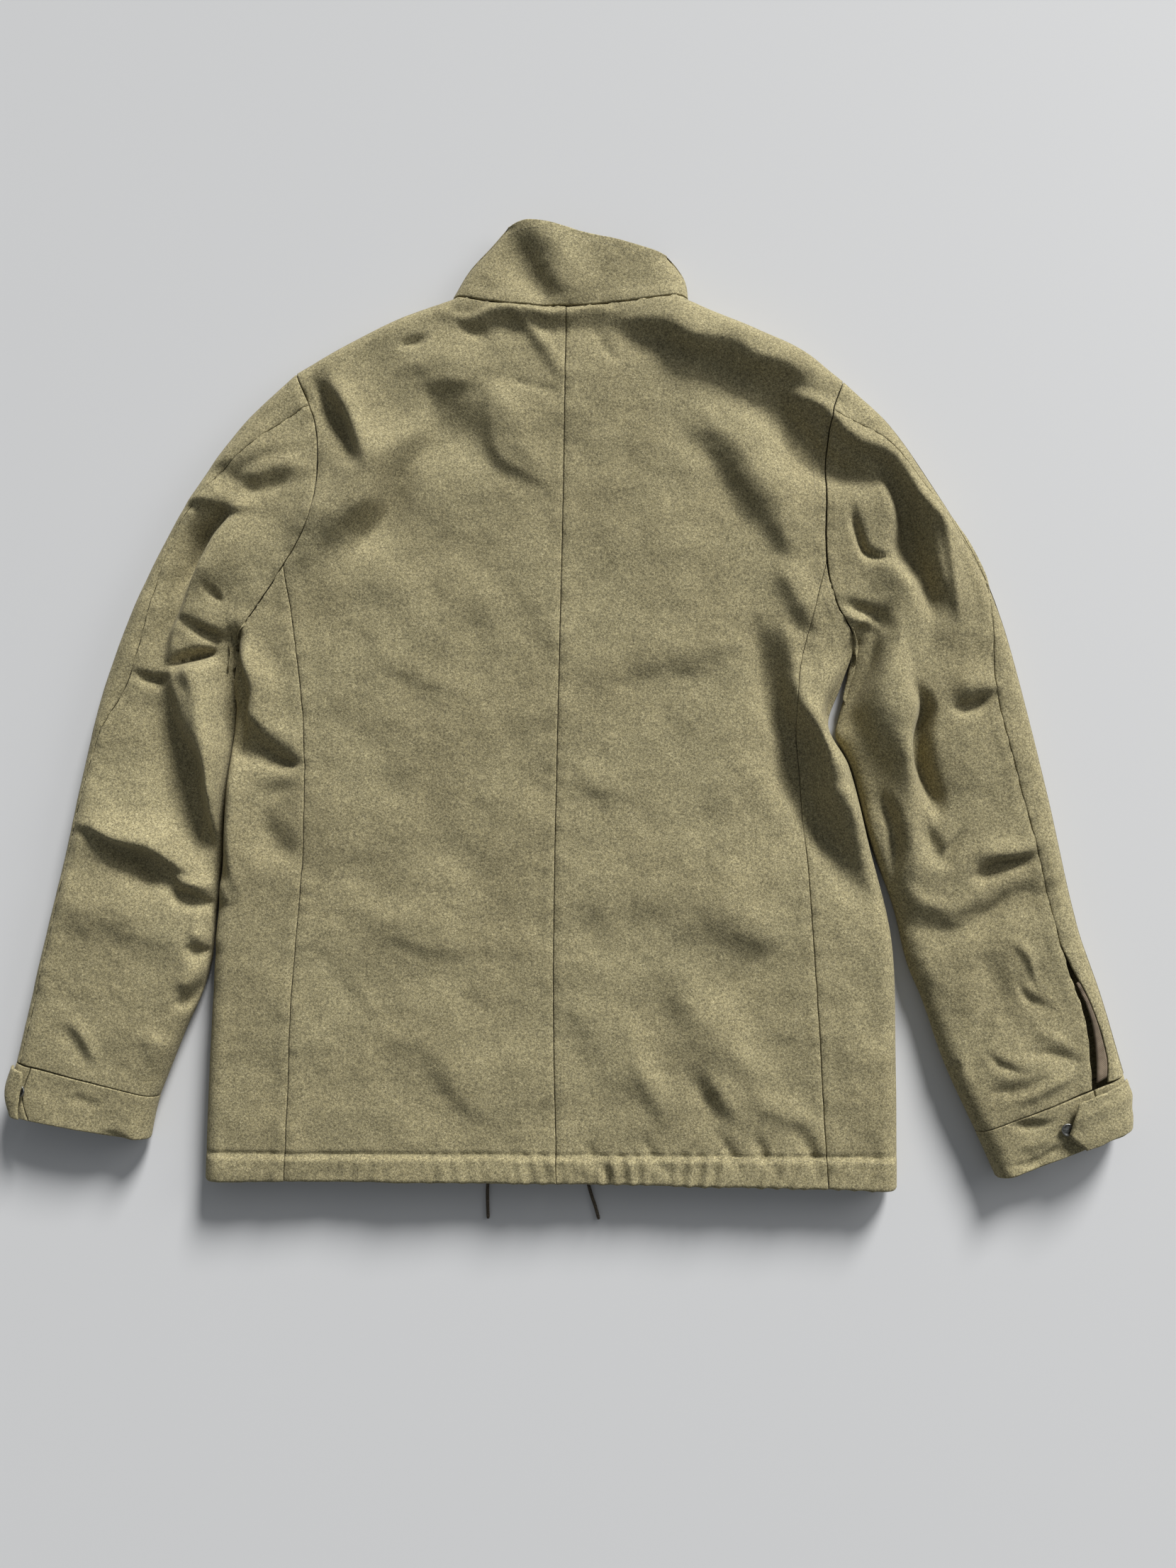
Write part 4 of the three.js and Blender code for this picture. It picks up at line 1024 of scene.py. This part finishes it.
def top_sleeve(side):
    lines = sleeve_curves(side)
    length = lines["armhole"].length
    seam = 1 - HINDARM_BELOW_TIP / length
    foot = straight(lines["top_edge"].at(1), lines["outer"].at(1))
    strip_at, strip_width = plan_patch(lines["armhole"].part(seam, 1), foot, lines["top_edge"],
                                       lines["outer"])
    below_at, below_width = sleeve_below(side, lines)
    above = both_ends(EDGE_ROUND, SEAM_RIM, HINDARM_BELOW_TIP, 2.2)[::-1]
    rows = both_ends(SEAM_RIM, SEAM_RIM, lines["outer"].length)
    v = shares(rows, len(above))
    low = SEAM_GAP / 2 / strip_width(v)
    top = strip_at(np.clip(1 - above / HINDARM_BELOW_TIP, low, 1), v)
    below = both_ends(UNDER_ROUND, [1], 100, 6)
    below /= below[-1]
    v = shares(rows, len(below))
    bottom = below_at(below * (1 - (FOLD_BAND + SEAM_GAP / 2) / below_width(v)), v)
    layers = from_tip(above, below)
    points = lifted(np.concatenate([top, bottom], 1), layers)
    piece = shell(f"top_sleeve_{side}", points, WALL, (SEAM_ROUND,) * 4, layers, WOOL)


def cuff_patch(side):
    outer = smooth_curve(CUFF_OUTER[side]).moved(OUTWARD[side], -SEAM_GAP)
    inner = smooth_curve(CUFF_INNER[side]).moved(OUTWARD[side], -SEAM_GAP)
    return plan_patch(straight(outer.at(0), inner.at(0)), straight(outer.at(1), inner.at(1)),
                      outer, inner)


def cuff(side):
    at, width = cuff_patch(side)
    slit = CUFF_SLIT[side]
    rows = both_ends(SEAM_RIM, FREE_RIM, CUFF_DEPTH, 2)
    v = shares(rows, 1)
    size = width(v)
    edge = np.array(EDGE_ROUND[1:])
    under = np.array(UNDER_ROUND)
    rim = np.array(SEAM_RIM)
    start = slit + SEAM_GAP / 2
    last = slit - SEAM_GAP / 2
    parts = [
        (start + rim, "top"),
        (mix(start + 3, size - 15.5, np.linspace(0, 1, 40)), "top"),
        (size - edge[::-1], "top"),
        (size, "tip"),
        (size - under, "bottom"),
        (mix(size - 20, 20, np.linspace(0, 1, 12)), "bottom"),
        (under[::-1], "bottom"),
        (np.zeros(1), "tip"),
        (edge, "top"),
    ]
    if last > 17:
        parts.append((np.array(run([15.5], last - 1.6)), "top"))
    parts.append((last - rim[::-1], "top"))
    distance = np.concatenate([part + 0 * v for part, _ in parts], 1)
    layers = [layer for part, layer in parts for _ in range(part.shape[-1])]
    points = lifted(at(distance / size, v * np.ones_like(distance)), layers)
    piece = shell(f"cuff_{side}", points, COLLAR_WALL, (SEAM_ROUND, *["free"] * 3), layers,
                  WOOL)


def top_frame(plan):
    """Outer surface and its normals under a grid of plan points."""
    points = lifted(plan, ["top"] * plan.shape[1])
    normals = grid_normals(points)
    if normals[..., 2].mean() < 0:
        normals = -normals
    return points, blurred(normals, 1)


TAB_CUT = {"left": ((0.02, 0.042), 0.00082), "right": ((0.056, 0.052), 0.0023)}


def cuff_tab(side):
    at, width = cuff_patch(side)
    v = mix(0.06, 0.94, shares(both_ends(FREE_RIM, FREE_RIM, 40, 1.8), 1))
    reach = np.interp(v, [0.06, 0.3, 0.58, 0.94], TAB_REACH[side])
    distance = mix(1.6, reach, np.linspace(0, 1, 16 if side == "left" else 30))
    size = width(v)
    points, normals = top_frame(at(distance / size, v * np.ones_like(distance)))
    rise = WALL + TAB_GAP + TAB_RISE * smooth((distance - 1.6) / (TAB_REACH[side][1] * 0.5))
    if side == "right":
        rise = rise + 0.8 * np.exp(-(((v - 0.3) / 0.1) ** 2))
        rise = rise - 0.8 * np.exp(-(((v - 0.55) / 0.12) ** 2))
    piece = shell(f"cuff_tab_{side}", points + normals * rise[..., None], WALL, ("free",) * 4,
                  ["top"] * points.shape[1], WOOL)
    flat, area = TAB_CUT[side]


def cuff_button(side):
    x, y = TAB_BUTTON[side]
    near = np.array([[[x - 2, y - 2], [x + 2, y - 2]], [[x - 2, y + 2], [x + 2, y + 2]]], float)
    points, normals = top_frame(near)
    axis = Vector(normals.mean((0, 1))).normalized()
    turn = np.array(Vector((0, 0, 1)).rotation_difference(axis).to_matrix())
    rim = BUTTON_RADIUS
    profile = np.array([
        (0, 0), (2.2, 0), (2.2, 1.2), (rim - 0.5, 1.25), (rim, 1.7), (rim, 2.2), (rim - 0.35, 2.7),
        (rim - 0.9, 2.75), (rim - 1.3, 2.35), (2.4, 2.3), (1.2, 2.6), (0, 2.7),
    ])
    radius, height = profile.T[..., None]
    angle = 2 * np.pi * np.arange(BUTTON_SIDES) / BUTTON_SIDES
    rings = [radius * np.cos(angle), radius * np.sin(angle), height + BUTTON_STAND + 0 * angle]
    rings = np.stack(rings, -1)
    local = np.concatenate([rings[0, :1], rings[1:-1].reshape(-1, 3), rings[-1, :1]])
    ring = 1 + np.arange(len(local) - 2).reshape(-1, BUTTON_SIDES)
    after = np.roll(ring, -1, 1)
    first, last = 0 * ring[0], 0 * ring[0] + len(local) - 1
    faces = np.stack([first, after[0], ring[0]], -1).tolist()
    faces += np.stack([ring[:-1], after[:-1], after[1:], ring[1:]], -1).reshape(-1, 4).tolist()
    faces += np.stack([ring[-1], after[-1], last], -1).tolist()
    add_mesh(f"cuff_button_{side}_metal", (points.mean((0, 1)) + local @ turn.T) * MM, faces,
             METAL, [f"cuff_button_{side}"])


def slit_facing():
    lines = sleeve_curves("right")
    rows = np.linspace(15.5 / 18, 17.9 / 18, 40)
    a, b = lines["hindarm"].at(rows), lines["top_edge"].at(rows)
    gape = np.interp(rows * 18, [15.5, 16, 17, 17.9], [0.35, 0.5, 0.45, 0.3])[:, None]
    across = np.linspace(0, 1, 8)
    share = mix(gape, 1, across)
    x = mix(a[:, :1] + 0.4, b[:, :1] - 0.6, share)
    y = mix(a[:, 1:], b[:, 1:], share)
    points, normals = top_frame(np.stack([x, y], -1))
    sunk = FACING_SINK - 0.5 * np.exp(-((across / 0.2) ** 2))
    piece = shell("slit_facing_right", points + normals * sunk[:, None], FACING_WALL,
                  ("free", "free", "free", None), ["top"] * len(across), FACING)


def collar():
    folds = {side: smooth_curve(COLLAR_FOLD[side]).moved(0, COLLAR_GAP) for side in SIDES}
    back_at, back_width = plan_patch(NECK_SEAM.moved(0, COLLAR_GAP),
                                     smooth_curve(COLLAR_TOP).moved(0, COLLAR_GAP),
                                     folds["left"], folds["right"])
    v = shares(both_ends(SEAM_RIM, FREE_RIM, COLLAR_DEPTH, 2.2), 1)
    size = back_width(v)
    edge = np.array(EDGE_ROUND[1:]) + 0 * v
    middle = mix(15.5, size - 15.5, np.linspace(0, 1, 66))
    distance = np.concatenate([0 * v, edge, middle, size - edge[:, ::-1], size], 1)
    above = back_at(distance / size, v * np.ones_like(distance))
    below = {}
    for side in SIDES:
        seam = front_neck(side, COLLAR_GAP)
        full = seam.length - COLLAR_SETBACK
        cut = full / seam.length
        middle_end = seam.at(cut)
        top_end = [middle_end[0], COLLAR_FRONT_TOP]
        at, width = plan_patch(seam.part(0, cut), straight(folds[side].at(1), top_end),
                               folds[side], straight(middle_end, top_end))
        stations = run(UNDER_ROUND, full, 6) * np.ones_like(v)
        below[side] = at(spread(stations, full, width(v)) / width(v), v * np.ones_like(stations))
    plan = np.concatenate([below["left"][:, ::-1], above, below["right"]], 1)
    hidden = {side: ["bottom"] * below[side].shape[1] for side in SIDES}
    shown = ["tip"] + ["top"] * (above.shape[1] - 2) + ["tip"]
    layers = hidden["left"] + shown + hidden["right"]
    lift = np.zeros(plan.shape[:2])
    lift[:, -len(hidden["right"]):] = overlap_share(below["right"][..., 0])
    lift *= COLLAR_WALL + SEAM_GAP
    piece = shell("collar", lifted(plan, layers, lift), COLLAR_WALL, (SEAM_ROUND, *["free"] * 3),
                  layers, WOOL)


# Drawcord ends
def tube(centre, along, radii, sides, first=0):
    """Rings of points round a line, and the faces between them and over both ends."""
    across = np.cross(along, [0, 0, 1])
    across /= np.linalg.norm(across, axis=1, keepdims=True)
    up = np.cross(across, along / np.linalg.norm(along, axis=1, keepdims=True))
    angle = 2 * np.pi * np.arange(sides)[:, None] / sides
    way = across[:, None] * np.cos(angle) + up[:, None] * np.sin(angle)
    points = centre[:, None] + radii[:, None, None] * way
    ring = first + np.arange(len(centre) * sides).reshape(-1, sides)
    after = np.roll(ring, -1, 1)
    walls = np.stack([ring[:-1], ring[1:], after[1:], after[:-1]], -1).reshape(-1, 4).tolist()
    return points.reshape(-1, 3), walls + [ring[0].tolist(), ring[-1, ::-1].tolist()]


def drawcord(side):
    line = smooth_curve(CORD_ROUTE[side], 7)
    centre = line.at(np.linspace(0, 1, 30))
    rank = np.arange(len(centre))
    rounding = np.minimum(np.minimum(rank, rank[::-1]) / 1.2, 1)
    radii = CORD_RADIUS * (0.8 + 0.2 * rounding)
    vertices, faces = tube(centre, np.gradient(centre, axis=0), radii, 14)
    piece = add_mesh(f"drawcord_{side}_braid", vertices * MM, faces, CORD,
                     [f"drawcord_{side}"])


for SIDE in SIDES:
    drawcord(SIDE)
for SIDE in SIDES:
    back_panel(SIDE)
    side_panel(SIDE)
    front_panel(SIDE)
    under_sleeve(SIDE)
    top_sleeve(SIDE)
    cuff(SIDE)
    cuff_tab(SIDE)
    cuff_button(SIDE)
collar()
slit_facing()


# Stitches, each a short thread laid along a line on the cloth
def stitches(name, lines):
    vertices, faces = [], []
    for line in lines:
        count = int(line.length / STITCH_PITCH)
        stations = (np.arange(count)[:, None] + [0.14, 0.5, 0.86]) / count
        x, y = np.moveaxis(line.at(stations), -1, 0)
        for thread in np.stack([x, y, top_height(x, y) - THREAD_SINK], -1):
            along = np.tile(thread[2] - thread[0], (3, 1))
            points, walls = tube(thread, along, THREAD_RADII, 5, len(vertices))
            vertices.extend(points)
            faces.extend(walls)
    add_mesh(name, np.array(vertices) * MM, faces, THREAD)


hem_line = smooth_curve([[-283, -362], [-220, -361.5], [-6, -361], [205, -364], [261, -366]])
stitches("hem_stitches", [hem_line])
armhole_line = ARMHOLES["right"].part(0.12, 0.93)
stitches("armhole_stitches", [armhole_line.moved(-3, 0), armhole_line.moved(-9.5, 0)])
collar_line = smooth_curve([[-52, 377], [-30, 381], [14, 371.5], [51, 363], [80, 354]])
stitches("collar_stitches", [collar_line.part(0.03, 0.97)])
stitches("slit_stitches", [from_armhole("right", SLIT_STITCH).moved(3.2, 0).part(0.84, 0.99)])


# Floor, lights and world
def floor():
    mesh = bpy.data.meshes.new("floor")
    size = 6
    corners = [(-size, -size, 0), (size, -size, 0), (size, size, 0), (-size, size, 0)]
    mesh.from_pydata(corners, [], [(0, 1, 2, 3)])
    ground = placed("floor", mesh)
    surface = Surface("pale_floor", 0.9)
    surface.inputs["Base Color"].default_value = (0.62, 0.62, 0.62, 1)
    mesh.materials.append(surface.material)
    ground.location.z = -0.0002


def aimed(name, kind, place):
    """A light at a place, turned towards the jacket."""
    data = bpy.data.lights.new(name, kind)
    lamp = placed(name, data)
    lamp.location = place
    lamp.rotation_mode = "QUATERNION"
    lamp.rotation_quaternion = Vector(place).to_track_quat("Z", "Y")
    return data


def lights():
    window = aimed("window", "SUN", (0.78, 1.86, 0.92))
    window.energy = 5.1
    window.angle = math.radians(17)
    side = aimed("side_window", "AREA", (1.9, 0.9, 1.1))
    side.shape = "RECTANGLE"
    side.size, side.size_y = 1.4, 1.0
    side.energy = 14
    world = bpy.data.worlds.new("world")
    world.use_nodes = True
    sky = world.node_tree.nodes["Background"].inputs
    sky["Color"].default_value = (0.9, 0.95, 1.0, 1)
    sky["Strength"].default_value = 0.2
    bpy.context.scene.world = world
    bpy.context.scene.view_settings.view_transform = "Standard"


floor()
lights()
